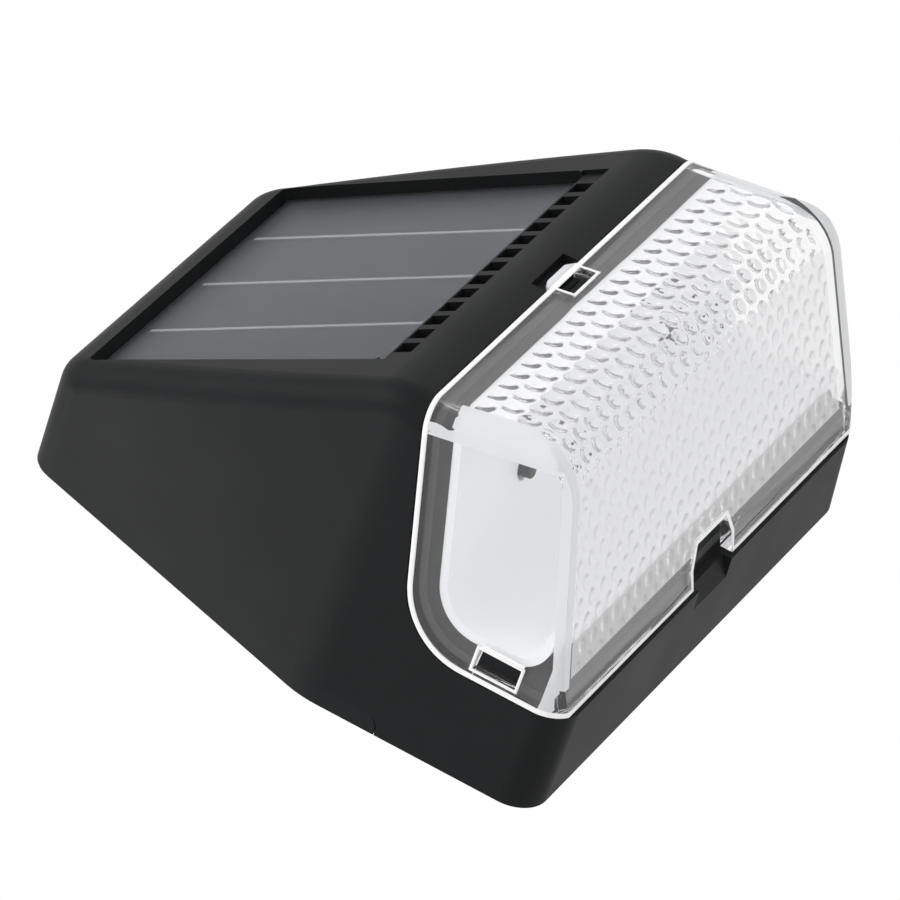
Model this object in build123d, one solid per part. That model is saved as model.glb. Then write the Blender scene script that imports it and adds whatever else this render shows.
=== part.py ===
from build123d import *
import math
import os

# Solar fence light: a wedge housing that stands flat on a vertical wall, a solar panel on its sloping
# roof and a clear light chamber below the nose. Millimetres. X runs to the right for somebody who
# faces the light, Z runs up, the wall is the plane Y = 0 and the light stands out towards -Y.
# Profiles in the side view are written as (out, z), where out is the distance from the wall.
# Heights are counted from the underside of the slab; the finished pieces are moved so that the
# origin lies on the wall plane midway between the two screws that the light hangs on.

# ---- overall outline -------------------------------------------------------------------------
WALL_WIDTH = 100.0        # width of the lower part at the wall
TOP_WIDTH = 63.2          # width of the top edge at the wall
HEIGHT = 90.6             # bottom of the slab to the top edge
SHOULDER_Z = 36.4         # height where the parallel lower sides turn into the tapering upper sides
SIDE_DRAFT = 0.1757       # the lower sides close in by this much for each mm away from the wall
TOP_DRAFT = 0.046         # the same for the top corners
BOTTOM_CORNER_R = 5.0     # rounding of the two long lower edges
TOP_CORNER_R = 6.0        # rounding of the two long upper edges
SHOULDER_R = 16.0         # soft bend between lower and upper sides

# ---- side profile ----------------------------------------------------------------------------
TOP_DEPTH = 16.0          # depth of the top edge
NOSE_OUT = 47.0           # the nose, where the roof turns down
NOSE_Z = 38.8             # its height, before rounding
NOSE_R = 12.0             # rounding from roof to nose
NOSE_EDGE_R = 4.6         # rounding all round the roof and down the nose
RIM_FRONT_Z = 34.3        # the parting line between housing and clear cover starts here on the nose
RIM_RISE = 0.262          # rise of the parting line for each mm towards the nose
SLAB_OUT = 14.0           # depth of the lower slab
RIM_BEND_R = 12.0         # bend of the parting line from the roof part into the slab
COVER_STAND = 3.9         # the clear cover stands out this far beyond the nose, at its lowest front corner
COVER_LOW_OUT = NOSE_OUT + COVER_STAND
COVER_LOW_Z = 12.0        # height of that corner, before rounding
REACH = COVER_LOW_OUT + 5.1  # length of the drafted block before it is trimmed
COVER_LOW_R = 9.0         # rounding of that corner
COVER_BOTTOM_Z = 0.5      # underside of the clear cover where it meets the slab
COVER_CORNER_R = 4.6      # upright front corners of the clear cover

# ---- walls and gaps --------------------------------------------------------------------------
HOUSING_WALL = 2.2
COVER_WALL = 1.8          # wall of the clear cover
COVER_GAP = 0.3           # air between the clear cover and the parts it slides over
PLINTH_H = 4.2            # height of the plinth that stands inside the clear cover
PLINTH_WALL = 2.0
REFLECTOR_T = 1.2
BACK_T = 2.4              # back cover plate
FLOOR_RISE = 0.95         # the floor of the upper cavity lies this far above the parting line at the slab
FLOOR_Z = RIM_FRONT_Z - RIM_RISE * (NOSE_OUT - SLAB_OUT) + FLOOR_RISE
FLOOR_T = 2.0
BACK_LOW_Z = FLOOR_Z - FLOOR_T  # lower edge of the back cover

# ---- solar panel, measured down the roof slope -----------------------------------------------
ROOF_LENGTH = math.hypot(NOSE_OUT - TOP_DEPTH, HEIGHT - NOSE_Z)
ROOF_LEFT = 3.97          # plain roof left between the recess and the nose
RECESS_START = 4.2
RECESS_END = ROOF_LENGTH - ROOF_LEFT
RECESS_SIDE = 2.6         # plain roof left beside the recess, measured from the top width
RECESS_FLARE = 2.6        # the recess widens by this much on each side towards the nose
RECESS_TOP_HALF = TOP_WIDTH / 2 - RECESS_SIDE
RECESS_LOW_HALF = RECESS_TOP_HALF + RECESS_FLARE
RECESS_DEPTH = 3.6
PANEL_GAP = 0.6           # gap all round between the panel and the recess
GUTTER_L = 4.0            # the slotted strip below the panel
GUTTER_START = RECESS_END - GUTTER_L
GUTTER_DEPTH = 0.6
SLOT_COUNT = 13
SLOT_PITCH = 4.42
SLOT_W = 3.0
SLOT_L = 3.4
SLOT_DEPTH = 3.0
TAPE_T = 0.5
PANEL_BASE_T = 0.8
CELL_T = 0.2
RESIN_T = 0.7
CELL_STRIPS = 4
CELL_PITCH = (RECESS_TOP_HALF + RECESS_LOW_HALF + 1.2) / CELL_STRIPS
CELL_GAP = 1.0
BUS_W = 0.7

# ---- clear cover details ---------------------------------------------------------------------
NOTCH_W = 12.4            # pry notch in the rear lower edge of the clear cover
NOTCH_L = 6.6
NOTCH_TAPER = 1.6
PRY_L = 5.5               # ramp in the slab that leads a screwdriver into the notch
PRY_DEEP = 1.9
SIDE_CLIP_Z = 11.6        # side clip windows
SIDE_CLIP_H = 6.6
SIDE_CLIP_OUT = 17.4
SIDE_CLIP_L = 3.0
TOP_CLIP_W = 7.0          # clip window at the top centre
TOP_CLIP_H = 3.0
CLIP_BORDER = 1.2         # clear material left on both sides of that window
TONGUE_T = 1.2            # tongue of the clear cover that lies in a notch of the nose
TONGUE_H = 2.0

# ---- inside ----------------------------------------------------------------------------------
LED_SPREAD = 42.0         # distance between the two LEDs
LED_OUT = 29.5            # the LEDs shine down from the ceiling of the chamber, this far from the wall
LED_BOARD = (58.0, 10.0, 1.0)
LED_DROP = 1.2            # the LED board lies this far below the ceiling
LED_HOLE_D = 2.8          # holes of the reflector below the LEDs
LED_LEAD_X = 35.0         # hole through the ceiling for the LED leads
CELL_D = 14.2             # rechargeable cell
CELL_OUT = 20.5
CRADLE_LIFT = 7.8         # the cradle of the cell stands this far above the floor
CRADLE_Z = FLOOR_Z + CRADLE_LIFT
CRADLE_T = 2.0
CELL_Z = CRADLE_Z + CRADLE_T + CELL_D / 2
BOARD = (50.0, 19.0, 1.2)  # main circuit board
BOARD_OUT = 12.0
BOARD_LOW = 5.05          # the board's middle lies this far below the middle between cell and top edge
BOARD_MID_Z = (HEIGHT + CELL_Z) / 2 - BOARD_LOW
BUTTON_Z = BOARD_MID_Z - 5.0
BUTTON_D = 8.4
BUTTON_GAP = 0.3
BUTTON_TRAVEL = 1.2
BUTTON_SINK = 0.9         # the button sits this far below the wall plane
KEYHOLE_SPREAD = 30.0     # distance between the two wall screws
KEYHOLE_BELOW = 24.6      # the round part of the keyholes lies this far below the top edge
KEYHOLE_Z = HEIGHT - KEYHOLE_BELOW
KEYHOLE_HEAD_D = 8.6
KEYHOLE_SLOT_W = 4.4
KEYHOLE_RISE = 7.0        # the light drops by this much onto the screws
HANG_Z = KEYHOLE_Z + KEYHOLE_RISE
SCREW_D = 2.6
SCREW_HEAD_D = 5.0
BOSS_SIDE = 10.5          # bosses of the back cover screws, measured in from the widest part
BOSS_TOP_SIDE = 7.8       # the same from the ends of the top edge
BOSS_TOP = 11.2           # and down from the top edge
LED_SCREW_X = 11.0        # screws of the LED board
PEG_X = WALL_WIDTH / 2 - 14.0  # pegs of the reflector
PEG_Z = 16.0
WIRE_D = 1.3


# ---- frames and small helpers ----------------------------------------------------------------
SIDE_VIEW = Plane(origin=(0, 0, 0), x_dir=(0, -1, 0), z_dir=(-1, 0, 0))
SLOPE = math.atan2(HEIGHT - NOSE_Z, NOSE_OUT - TOP_DEPTH)  # angle between the roof and the horizontal
ROOF_UP = (0, -math.sin(SLOPE), math.cos(SLOPE))
ROOF_VIEW = Plane(origin=(0, -TOP_DEPTH, HEIGHT), x_dir=(1, 0, 0), z_dir=ROOF_UP)


def front_view(out):
    """Plane parallel to the wall at a distance from it; local x is X, local y is Z."""
    return Plane(origin=(0, -out, 0), x_dir=(1, 0, 0), z_dir=(0, -1, 0))


def rounded(points, radii):
    """Closed outline with a radius for each corner (0 keeps it sharp)."""
    face = Polygon(*points, align=None)
    for corner, radius in zip(points, radii):
        if radius > 0:
            spot = Vector(corner[0], corner[1], 0)
            vertex = min(face.vertices(), key=lambda v: (Vector(v.X, v.Y, v.Z) - spot).length)
            face = fillet(vertex, radius)
    return face


def side_solid(face, half=WALL_WIDTH / 2 + 12.0):
    """Side-view face carried across the whole width."""
    return extrude(SIDE_VIEW * face, amount=half, both=True)


def box(x, out, z, dx, dout, dz):
    """Box given by its centre (x, out, z) and its sizes."""
    return Pos(x, -out, z) * Box(dx, dout, dz)


def out_cylinder(x, z, start, length, diameter):
    """Cylinder that runs outwards from the plane out = start."""
    return Pos(x, -(start + length / 2), z) * Rot(90, 0, 0) * Cylinder(diameter / 2, length)


def half_width(out):
    """Half width of the lower part at a distance from the wall."""
    return WALL_WIDTH / 2 - SIDE_DRAFT * out


def roof_out(z):
    """Distance of the roof surface from the wall at a height."""
    return TOP_DEPTH + (HEIGHT - z) / math.tan(SLOPE)


# ---- the outer block -------------------------------------------------------------------------
def section(out, inset):
    """Outline of the light parallel to the wall, drawn in by an inset."""
    low = half_width(out)
    top = TOP_WIDTH / 2 - TOP_DRAFT * out
    points = [(-low, 0), (low, 0), (low, SHOULDER_Z), (top, HEIGHT), (-top, HEIGHT), (-low, SHOULDER_Z)]
    face = Polygon(*points, align=None)
    if inset > 0:
        face = offset(face, amount=-inset, kind=Kind.INTERSECTION)
    spots = list(face.vertices())
    for spot in spots:
        here = Vector(spot.X, spot.Y, 0)
        vertex = min(face.vertices(), key=lambda v: (Vector(v.X, v.Y, 0) - here).length)
        if here.Y > HEIGHT - inset - 1:
            radius = max(TOP_CORNER_R - inset, 0.8)
        elif here.Y < inset + 1:
            radius = max(BOTTOM_CORNER_R - inset, 0.8)
        else:
            radius = SHOULDER_R
        face = fillet(vertex, radius)
    return face


def block(inset=0.0, start=0.0):
    """Drafted block: the outline at the wall and the outline far out, joined by straight rules."""
    near = front_view(start) * section(start, inset)
    far = front_view(REACH) * section(REACH, inset)
    return loft([near, far], ruled=True)


def rim_z(out):
    """Height of the parting line below the roof part."""
    return RIM_FRONT_Z + RIM_RISE * (out - NOSE_OUT)


def rim_face(drop, front=NOSE_OUT + 20, low=-10.0):
    """Region below and in front of the parting line, moved into the chamber by a drop."""
    slope_len = math.hypot(1, RIM_RISE)
    dz = drop * slope_len
    corner = (SLAB_OUT + drop, rim_z(SLAB_OUT + drop) - dz)
    points = [corner, (front, rim_z(front) - dz), (front, low), (SLAB_OUT + drop, low)]
    return rounded(points, [max(RIM_BEND_R - drop, 2.0), 0, 0, 0])


def housing_profile():
    """Side view of the housing with the light chamber still filled in."""
    points = [(0, 0), (NOSE_OUT, 0), (NOSE_OUT, NOSE_Z), (TOP_DEPTH, HEIGHT), (0, HEIGHT)]
    return rounded(points, [0, 0, NOSE_R, 0, 0])


def shell_block():
    """Housing and light chamber as one filled block, with the roof and nose edges rounded."""
    solid = block() & side_solid(housing_profile())
    edges = []
    for edge in solid.edges():
        c = edge.center()
        out = -c.Y
        on_roof = abs(out - roof_out(c.Z)) < 1.2 and out > TOP_DEPTH
        on_nose = out > NOSE_OUT - 1.5 and c.Z > BOTTOM_CORNER_R
        if abs(c.X) > TOP_WIDTH / 2 - 3 and (on_roof or on_nose):
            edges.append(edge)
    return fillet(edges, NOSE_EDGE_R)


# ---- the clear cover's own shape -------------------------------------------------------------
FRONT_LEAN = (COVER_LOW_OUT - NOSE_OUT) / (RIM_FRONT_Z - COVER_LOW_Z)
UNDERSIDE_RISE = (COVER_LOW_Z - COVER_BOTTOM_Z) / (COVER_LOW_OUT - SLAB_OUT)


def cover_plan(inset):
    """Chamber seen from above: drafted sides, leaning front, rounded front corners."""
    def plan(z):
        front = NOSE_OUT + FRONT_LEAN * (RIM_FRONT_Z - z) - inset * math.hypot(1, FRONT_LEAN)
        side = inset * math.hypot(1, SIDE_DRAFT)
        back_half = half_width(0) - side
        front_half = half_width(front) - side
        points = [(-back_half, 0), (back_half, 0), (front_half, -front), (-front_half, -front)]
        radius = max(COVER_CORNER_R - inset, 1.0)
        return Plane.XY.offset(z) * rounded(points, [0, 0, radius, radius])
    return loft([plan(-1.0), plan(RIM_FRONT_Z + 2.0)], ruled=True)


def cover_side(inset):
    """Chamber seen from the side: leaning front, rounded lower corner, rising underside."""
    back = -12.0
    top = RIM_FRONT_Z + 18.0
    points = [
        (back, COVER_BOTTOM_Z + UNDERSIDE_RISE * (back - SLAB_OUT)),
        (COVER_LOW_OUT, COVER_LOW_Z),
        (NOSE_OUT + FRONT_LEAN * (RIM_FRONT_Z - top), top),
        (back, top),
    ]
    face = Polygon(*points, align=None)
    if inset > 0:
        face = offset(face, amount=-inset, kind=Kind.INTERSECTION)
    corner = min(face.vertices(), key=lambda v: math.hypot(v.X - COVER_LOW_OUT, v.Y - COVER_LOW_Z))
    return fillet(corner, COVER_LOW_R - inset)


def chamber(inset, drop):
    """Light chamber drawn in by an inset and kept a drop away from the parting line."""
    solid = cover_plan(inset) & block(inset)
    return solid & side_solid(cover_side(inset)) & side_solid(rim_face(drop))


# ---- housing ---------------------------------------------------------------------------------
PLINTH_IN = COVER_WALL + COVER_GAP          # outer faces of the plinth, measured from the outside
PLINTH_CORE = PLINTH_IN + PLINTH_WALL       # inner faces of the plinth
RIM_WALL = 4.6                              # thick rim round the back opening
RIM_DEEP = 6.0
SEAL_IN = 2.4
SEAL_W = 1.4
SEAL_DEEP = 1.2
ROOF_WALL = RECESS_DEPTH + 2.2


def back_face(out, inset):
    """Back opening region seen from the front: all above the lower edge of the back cover."""
    top = HEIGHT + 30
    window = Pos(0, (BACK_LOW_Z + top) / 2) * Rectangle(WALL_WIDTH + 40, top - BACK_LOW_Z)
    face = section(out, 0) & window
    if inset > 0:
        face = offset(face, amount=-inset, kind=Kind.INTERSECTION)
    return face


def back_prism(inset, start, end):
    """Straight prism of the back opening between two distances from the wall."""
    return extrude(front_view(start) * back_face(BACK_T, inset), amount=end - start, dir=(0, -1, 0))


def back_seat(extra=0.0):
    """Space of the back cover plate in the side view, with its rounded lower corner."""
    low = BACK_LOW_Z - extra
    points = [(-2, low), (BACK_T, low), (BACK_T, HEIGHT + 5), (-2, HEIGHT + 5)]
    return side_solid(rounded(points, [0, 1.8, 0, 0]))


def recess_face(margin, start, end):
    """Panel outline in the roof plane; the sides follow the taper of the recess."""
    def half(u):
        share = (u - RECESS_START) / (RECESS_END - RECESS_START)
        return RECESS_TOP_HALF + (RECESS_LOW_HALF - RECESS_TOP_HALF) * share - margin
    points = [(-half(start), -start), (half(start), -start), (half(end), -end), (-half(end), -end)]
    return Polygon(*points, align=None)


def roof_slab(face, low, high):
    """Face in the roof plane carried from one depth to another (depths count into the roof)."""
    return extrude(ROOF_VIEW.offset(-low) * face, amount=low - high, dir=ROOF_VIEW.z_dir)


def screw_spots():
    """Back cover screws: x and z of the four bosses."""
    low_x, top_x = WALL_WIDTH / 2 - BOSS_SIDE, TOP_WIDTH / 2 - BOSS_TOP_SIDE
    low_z, top_z = SHOULDER_Z - 1.6, HEIGHT - BOSS_TOP
    return [(-low_x, low_z), (low_x, low_z), (-top_x, top_z), (top_x, top_z)]


def cradle_spots():
    """Posts of the cell cradle: x and distance from the wall."""
    return [(x, out) for x in (-27.0, 27.0) for out in (11.5, 30.5)]


RIM_TILT = math.atan(RIM_RISE)
LED_DOWN = (0, -math.sin(RIM_TILT), -math.cos(RIM_TILT))
LED_VIEW = Plane(origin=(0, -LED_OUT, rim_z(LED_OUT)), x_dir=(1, 0, 0), z_dir=LED_DOWN)
LED_SEAT = LED_DROP + LED_BOARD[2]  # the LEDs sit on this side of their board


def ceiling_cylinder(x, low, high, diameter):
    """Cylinder square to the ceiling of the chamber, between two depths below it."""
    return LED_VIEW * (Pos(x, 0, (low + high) / 2) * Cylinder(diameter / 2, high - low))


def upper_cavity():
    """Dry space behind the roof, open to the back."""
    inner = [
        (BACK_T - 1, FLOOR_Z),
        (NOSE_OUT - HOUSING_WALL, FLOOR_Z),
        (NOSE_OUT - HOUSING_WALL, HEIGHT - (NOSE_OUT - HOUSING_WALL - TOP_DEPTH) * math.tan(SLOPE)
         - ROOF_WALL / math.cos(SLOPE)),
        (TOP_DEPTH - (ROOF_WALL - HOUSING_WALL * math.cos(SLOPE)) / math.sin(SLOPE), HEIGHT - HOUSING_WALL),
        (BACK_T - 1, HEIGHT - HOUSING_WALL),
    ]
    space = block(HOUSING_WALL) & side_solid(rounded(inner, [0, 0, 4, 3, 0]))
    space = space - side_solid(rim_face(-2.0))
    front_part = space - box(0, RIM_DEEP / 2 - 10, HEIGHT / 2, 2 * WALL_WIDTH, RIM_DEEP + 20, 2 * HEIGHT)
    mouth = back_prism(RIM_WALL, BACK_T - 1, RIM_DEEP + 0.5) & side_solid(Polygon(*inner, align=None))
    return front_part + mouth


def lower_pocket():
    """Cored pocket of the slab, open to the front and covered by the reflector."""
    high = FLOOR_Z - FLOOR_T
    window = box(0, HOUSING_WALL + 15, high / 2, WALL_WIDTH + 20, 30, high)
    walls = block(PLINTH_CORE) & cover_plan(PLINTH_CORE) & side_solid(cover_side(PLINTH_CORE))
    return walls & window


def clip_window(extra=0.0):
    """The three clip windows as cutters through the clear wall."""
    tools = []
    for side in (-1, 1):
        x = side * (half_width(SIDE_CLIP_OUT) - 1)
        tools.append(box(x, SIDE_CLIP_OUT, SIDE_CLIP_Z, 8, SIDE_CLIP_L + extra, SIDE_CLIP_H + extra))
    z = RIM_FRONT_Z - 0.6 - TOP_CLIP_H / 2
    tools.append(box(0, NOSE_OUT - 1, z, TOP_CLIP_W + extra, 8, TOP_CLIP_H + extra))
    return tools


def tongue(extra=0.0):
    """Small tongue of the clear cover that reaches up into the nose at the top centre."""
    wide = TOP_CLIP_W + 2 * CLIP_BORDER
    deep = TONGUE_T + extra + 1
    high = 2 * (TONGUE_H + extra)
    return box(0, NOSE_OUT + 1 - deep / 2, RIM_FRONT_Z, wide + 2 * extra, deep, high)


def make_housing():
    body = shell_block() - side_solid(rim_face(0))
    plinth = chamber(PLINTH_IN, -1.0) - side_solid(rim_face(PLINTH_H))
    core = chamber(PLINTH_CORE, 0.0)
    body = body + plinth
    # hooks of the clear cover stand on the plinth
    hook_zone = chamber(PLINTH_IN - 0.9, -1.0) - chamber(PLINTH_IN + 0.5, -1.0)
    hook_zone = hook_zone - side_solid(rim_face(PLINTH_H))
    hook_gap = -2 * COVER_GAP
    hooks = [hook_zone & cutter for cutter in clip_window(hook_gap)]
    for hook in hooks:
        body = body + hook
    body = body - core - lower_pocket() - upper_cavity() - back_seat()
    # groove for the seal of the back cover
    groove = back_prism(SEAL_IN, BACK_T - 1, BACK_T + SEAL_DEEP)
    body = body - (groove - back_prism(SEAL_IN + SEAL_W, BACK_T - 2, RIM_DEEP))
    # groove for the seal of the clear cover
    cover_groove = ring_zone(PLINTH_IN - 0.5, PLINTH_IN + 0.7)
    body = body - cover_groove
    # panel recess, gutter and drain slots
    recess = fillet(recess_face(0, RECESS_START, GUTTER_START).vertices(), 1.2)
    body = body - roof_slab(recess, RECESS_DEPTH, -3)
    body = body - roof_slab(recess_face(0, GUTTER_START - 0.2, RECESS_END), GUTTER_DEPTH, -3)
    middle = (GUTTER_START + RECESS_END) / 2
    for i in range(SLOT_COUNT):
        x = (i - (SLOT_COUNT - 1) / 2) * SLOT_PITCH
        body = body - roof_slab(Pos(x, -middle) * Rectangle(SLOT_W, SLOT_L), SLOT_DEPTH, -1)
    # hole for the panel leads, hole for the LED leads through the ceiling of the chamber
    body = body - roof_slab(Pos(0, -14) * Circle(2.2), ROOF_WALL + 2, RECESS_DEPTH - 0.5)
    body = body - ceiling_cylinder(LED_LEAD_X, -3.5, 1.0, 4.0)
    # bosses of the back cover screws with their ribs
    limit = shell_block() - side_solid(rim_face(-0.5))
    for x, z in screw_spots():
        side = 1 if x > 0 else -1
        boss = out_cylinder(x, z, BACK_T, 12.0, 6.0)
        if z < SHOULDER_Z + 5:
            boss = boss + (box(x + side * 4.5, BACK_T + 7.5, z, 9.0, 7.0, 1.6) & limit)
        else:
            boss = boss + (box(x, BACK_T + 6.5, z + 5.2, 1.6, 6.0, 10.0) & limit)
        body = body + boss
        body = body - out_cylinder(x, z, BACK_T - 1, 11.5, SCREW_D + 0.1)
    # posts of the cell cradle
    for x, out in cradle_spots():
        post = Pos(x, -out, (FLOOR_Z - 0.5 + CRADLE_Z) / 2) * Cylinder(3.0, CRADLE_Z - FLOOR_Z + 0.5)
        body = body + (post & limit)
        body = body - Pos(x, -out, CRADLE_Z - 1.4) * Cylinder((SCREW_D + 0.1) / 2, 6.2)
    # bosses of the LED board and locating holes of the reflector
    for x in (-LED_SCREW_X, LED_SCREW_X):
        body = body + ceiling_cylinder(x, -3.4, LED_DROP, 6.0)
        body = body - ceiling_cylinder(x, -2.6, LED_DROP + 1, SCREW_D + 0.1)
    for x in (-PEG_X, PEG_X):
        body = body + out_cylinder(x, PEG_Z, HOUSING_WALL - 0.5, SLAB_OUT + PLINTH_H - HOUSING_WALL, 5.0)
        body = body - out_cylinder(x, PEG_Z, SLAB_OUT, 6, 2.5)
    # pry recess below the notch and room for the tongue of the clear cover
    ramp = Polygon((SLAB_OUT - PRY_L, -1), (SLAB_OUT + 1, -1), (SLAB_OUT + 1, PRY_DEEP), align=None)
    body = body - side_solid(ramp, half=NOTCH_W / 2 - 1)
    return body - tongue(COVER_GAP)


def ring_zone(outer, inner):
    """Ring between two insets, a little below the parting line."""
    ring = chamber(outer, 1.2) - chamber(inner, 1.2) - side_solid(rim_face(2.4))
    return ring


# ---- clear cover -----------------------------------------------------------------------------
def make_lens_cover():
    body = chamber(0, COVER_GAP) - chamber(COVER_WALL, -1.0)
    body = body + (tongue() & side_solid(housing_profile()))
    for cutter in clip_window():
        body = body - cutter
    # the bars between windows and rim are thinned from the inside so that they pass the hooks
    relief_zone = chamber(0.9, COVER_GAP - 1.0) - chamber(COVER_WALL + 0.2, -1.0)
    relief_zone = relief_zone - side_solid(rim_face(PLINTH_H))
    for side in (-1, 1):
        x = side * (half_width(SIDE_CLIP_OUT) - 1)
        lane = box(x, SIDE_CLIP_OUT - 2.5, SIDE_CLIP_Z, 8, SIDE_CLIP_L + 4.0, SIDE_CLIP_H)
        body = body - (relief_zone & lane)
    body = body - (relief_zone & box(0, NOSE_OUT - 1, RIM_FRONT_Z - 1, TOP_CLIP_W, 8, 6.0))
    # pry notch in the rear edge of the underside
    half = NOTCH_W / 2
    far = half - NOTCH_TAPER
    back, shoulder, end = -SLAB_OUT + 1, -SLAB_OUT - NOTCH_L / 2, -SLAB_OUT - NOTCH_L
    points = [(-half, back), (half, back), (half, shoulder), (far, end), (-far, end), (-half, shoulder)]
    outline = Polygon(*points, align=None)
    return body - extrude(Plane.XY.offset(-2) * outline, amount=8, dir=(0, 0, 1))


def make_cover_seal():
    """Square cord round the root of the plinth."""
    return ring_zone(PLINTH_IN - 0.1, PLINTH_IN + 0.7)


# ---- back cover ------------------------------------------------------------------------------
LIP_H = 2.0
CUP_WALL = 1.2
CUP_DEEP = 5.6
COLLAR_H = 2.2


def keyhole(x, grow=0.0):
    """Keyhole outline: round head hole with a narrow slot that rises from it."""
    slot_mid = KEYHOLE_Z + KEYHOLE_RISE / 2
    face = Pos(x, KEYHOLE_Z) * Circle(KEYHOLE_HEAD_D / 2 + grow)
    face = face + Pos(x, slot_mid) * Rectangle(KEYHOLE_SLOT_W + 2 * grow, KEYHOLE_RISE)
    return face + Pos(x, KEYHOLE_Z + KEYHOLE_RISE) * Circle(KEYHOLE_SLOT_W / 2 + grow)


def board_posts():
    """Posts that carry the main circuit board: x and z."""
    return [(-21.0, BOARD_MID_Z - 6.0), (21.0, BOARD_MID_Z - 6.0), (0.0, BOARD_MID_Z + 7.5)]


def make_back_cover():
    body = block() & back_seat(-0.15)
    lip = back_prism(RIM_WALL + 0.5, BACK_T - 0.5, BACK_T + LIP_H)
    lip = lip - back_prism(RIM_WALL + 2.0, BACK_T - 1, BACK_T + LIP_H + 1)
    body = body + lip
    # closed cups behind the keyholes keep water out of the housing
    for x in (-KEYHOLE_SPREAD / 2, KEYHOLE_SPREAD / 2):
        cup = Pos(x, KEYHOLE_Z + KEYHOLE_RISE / 2) * RectangleRounded(
            KEYHOLE_HEAD_D + 2 * CUP_WALL + 0.8, KEYHOLE_RISE + KEYHOLE_HEAD_D + 2 * CUP_WALL, 3.0)
        room = Pos(x, KEYHOLE_Z + KEYHOLE_RISE / 2) * RectangleRounded(
            KEYHOLE_HEAD_D + 0.8, KEYHOLE_RISE + KEYHOLE_HEAD_D, 2.0)
        body = body + extrude(front_view(BACK_T - 0.5) * cup, amount=CUP_DEEP + 0.5)
        body = body - extrude(front_view(BACK_T - 0.4) * room, amount=CUP_DEEP - CUP_WALL + 0.4)
        body = body - extrude(front_view(-1) * keyhole(x), amount=BACK_T + 1)
    # posts of the main circuit board
    for x, z in board_posts():
        body = body + out_cylinder(x, z, BACK_T - 0.5, BOARD_OUT - BACK_T + 0.5, 5.0)
        body = body - out_cylinder(x, z, BOARD_OUT - 6.5, 8, SCREW_D + 0.1)
    # collar and hole of the push button
    body = body + out_cylinder(0, BUTTON_Z, BACK_T - 0.5, COLLAR_H + 0.5, 13.8)
    body = body - out_cylinder(0, BUTTON_Z, BACK_T, COLLAR_H + 1, 11.2)
    body = body - out_cylinder(0, BUTTON_Z, -1, BACK_T + 2, BUTTON_D + 2 * BUTTON_GAP)
    # countersunk screw holes
    for x, z in screw_spots():
        body = body - out_cylinder(x, z, -1, BACK_T + 6, SCREW_D + 0.1)
        cone = Cone(SCREW_HEAD_D / 2 + 0.15, (SCREW_D + 0.1) / 2, 1.7)
        body = body - Pos(x, -0.85, z) * Rot(90, 0, 0) * cone
    return body


def make_back_seal():
    ring = back_prism(SEAL_IN, BACK_T, BACK_T + SEAL_DEEP - 0.1)
    return ring - back_prism(SEAL_IN + SEAL_W, BACK_T - 1, RIM_DEEP)


def csk_screw(length):
    """Countersunk self-tapping screw: head face at the origin, shank along -Z, cross recess."""
    head = Pos(0, 0, -0.75) * Cone(SCREW_D / 2, SCREW_HEAD_D / 2, 1.5)
    shank = Pos(0, 0, -length / 2) * Cylinder(SCREW_D / 2, length)
    tip = Pos(0, 0, -length - 0.6) * Cone(0.3, SCREW_D / 2, 1.2)
    cross = Box(2.4, 0.6, 1.6) + Box(0.6, 2.4, 1.6)
    return head + shank + tip - cross


def pan_screw(length):
    """Small pan-head screw: seat at the origin, head above it, shank along -Z, cross recess."""
    head = Pos(0, 0, 0.75) * Cylinder(2.3, 1.5)
    head = fillet(head.edges().sort_by(Axis.Z)[-1], 0.6)
    shank = Pos(0, 0, -length / 2) * Cylinder(SCREW_D / 2, length)
    cross = Pos(0, 0, 1.5) * (Box(2.2, 0.5, 1.4) + Box(0.5, 2.2, 1.4))
    return head + shank - cross


def group(items):
    """Several separate solids kept together as one piece."""
    return Compound(children=list(items))


def make_back_screws():
    return group([Pos(x, -0.15, z) * Rot(-90, 0, 0) * csk_screw(8.5) for x, z in screw_spots()])


# ---- reflector and LEDs ----------------------------------------------------------------------
REFLECTOR_IN = PLINTH_IN + 0.1
REFLECTOR_LIP = 5.5       # how far the reflector runs out along the underside of the clear cover


def make_reflector():
    region = rim_face(PLINTH_H) & cover_side(REFLECTOR_IN)
    corner = min(region.vertices(), key=lambda v: v.X + v.Y)
    region = fillet(corner, 4.6)
    sheet = region - offset(region, amount=-REFLECTOR_T, kind=Kind.INTERSECTION)
    lip_mid = SLAB_OUT + PLINTH_H + REFLECTOR_LIP / 2 - 2
    near, far = SLAB_OUT + 0.5, NOSE_OUT - 1.5
    upper = Pos((near + far) / 2, 45) * Rectangle(far - near, 50)
    sheet = sheet & (upper + Pos(lip_mid, 15) * Rectangle(REFLECTOR_LIP + 4, 60))
    body = side_solid(sheet) & cover_plan(REFLECTOR_IN) & block(REFLECTOR_IN)
    body = body.solids().sort_by(SortBy.VOLUME)[-1]
    # flared openings below the LEDs
    for x in led_spots():
        cone = Cone(LED_HOLE_D / 2, LED_HOLE_D / 2 + 0.5, REFLECTOR_T + 0.02)
        body = body - LED_VIEW * (Pos(x, 0, PLINTH_H + REFLECTOR_T / 2) * cone)
    # pegs that locate the reflector in the plinth
    for x in (-PEG_X, PEG_X):
        body = body + out_cylinder(x, PEG_Z, SLAB_OUT + PLINTH_H - 3.4, 3.9, 2.3)
    return body


def make_led_board():
    wide, high, thick = LED_BOARD
    body = LED_VIEW * (Pos(0, 0, LED_DROP + thick / 2) * Box(wide, high, thick))
    for x in (-LED_SCREW_X, LED_SCREW_X):
        body = body - ceiling_cylinder(x, 0, LED_SEAT + 1, SCREW_D + 0.1)
    return body


def led_spots():
    return (-LED_SPREAD / 2, LED_SPREAD / 2)


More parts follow.
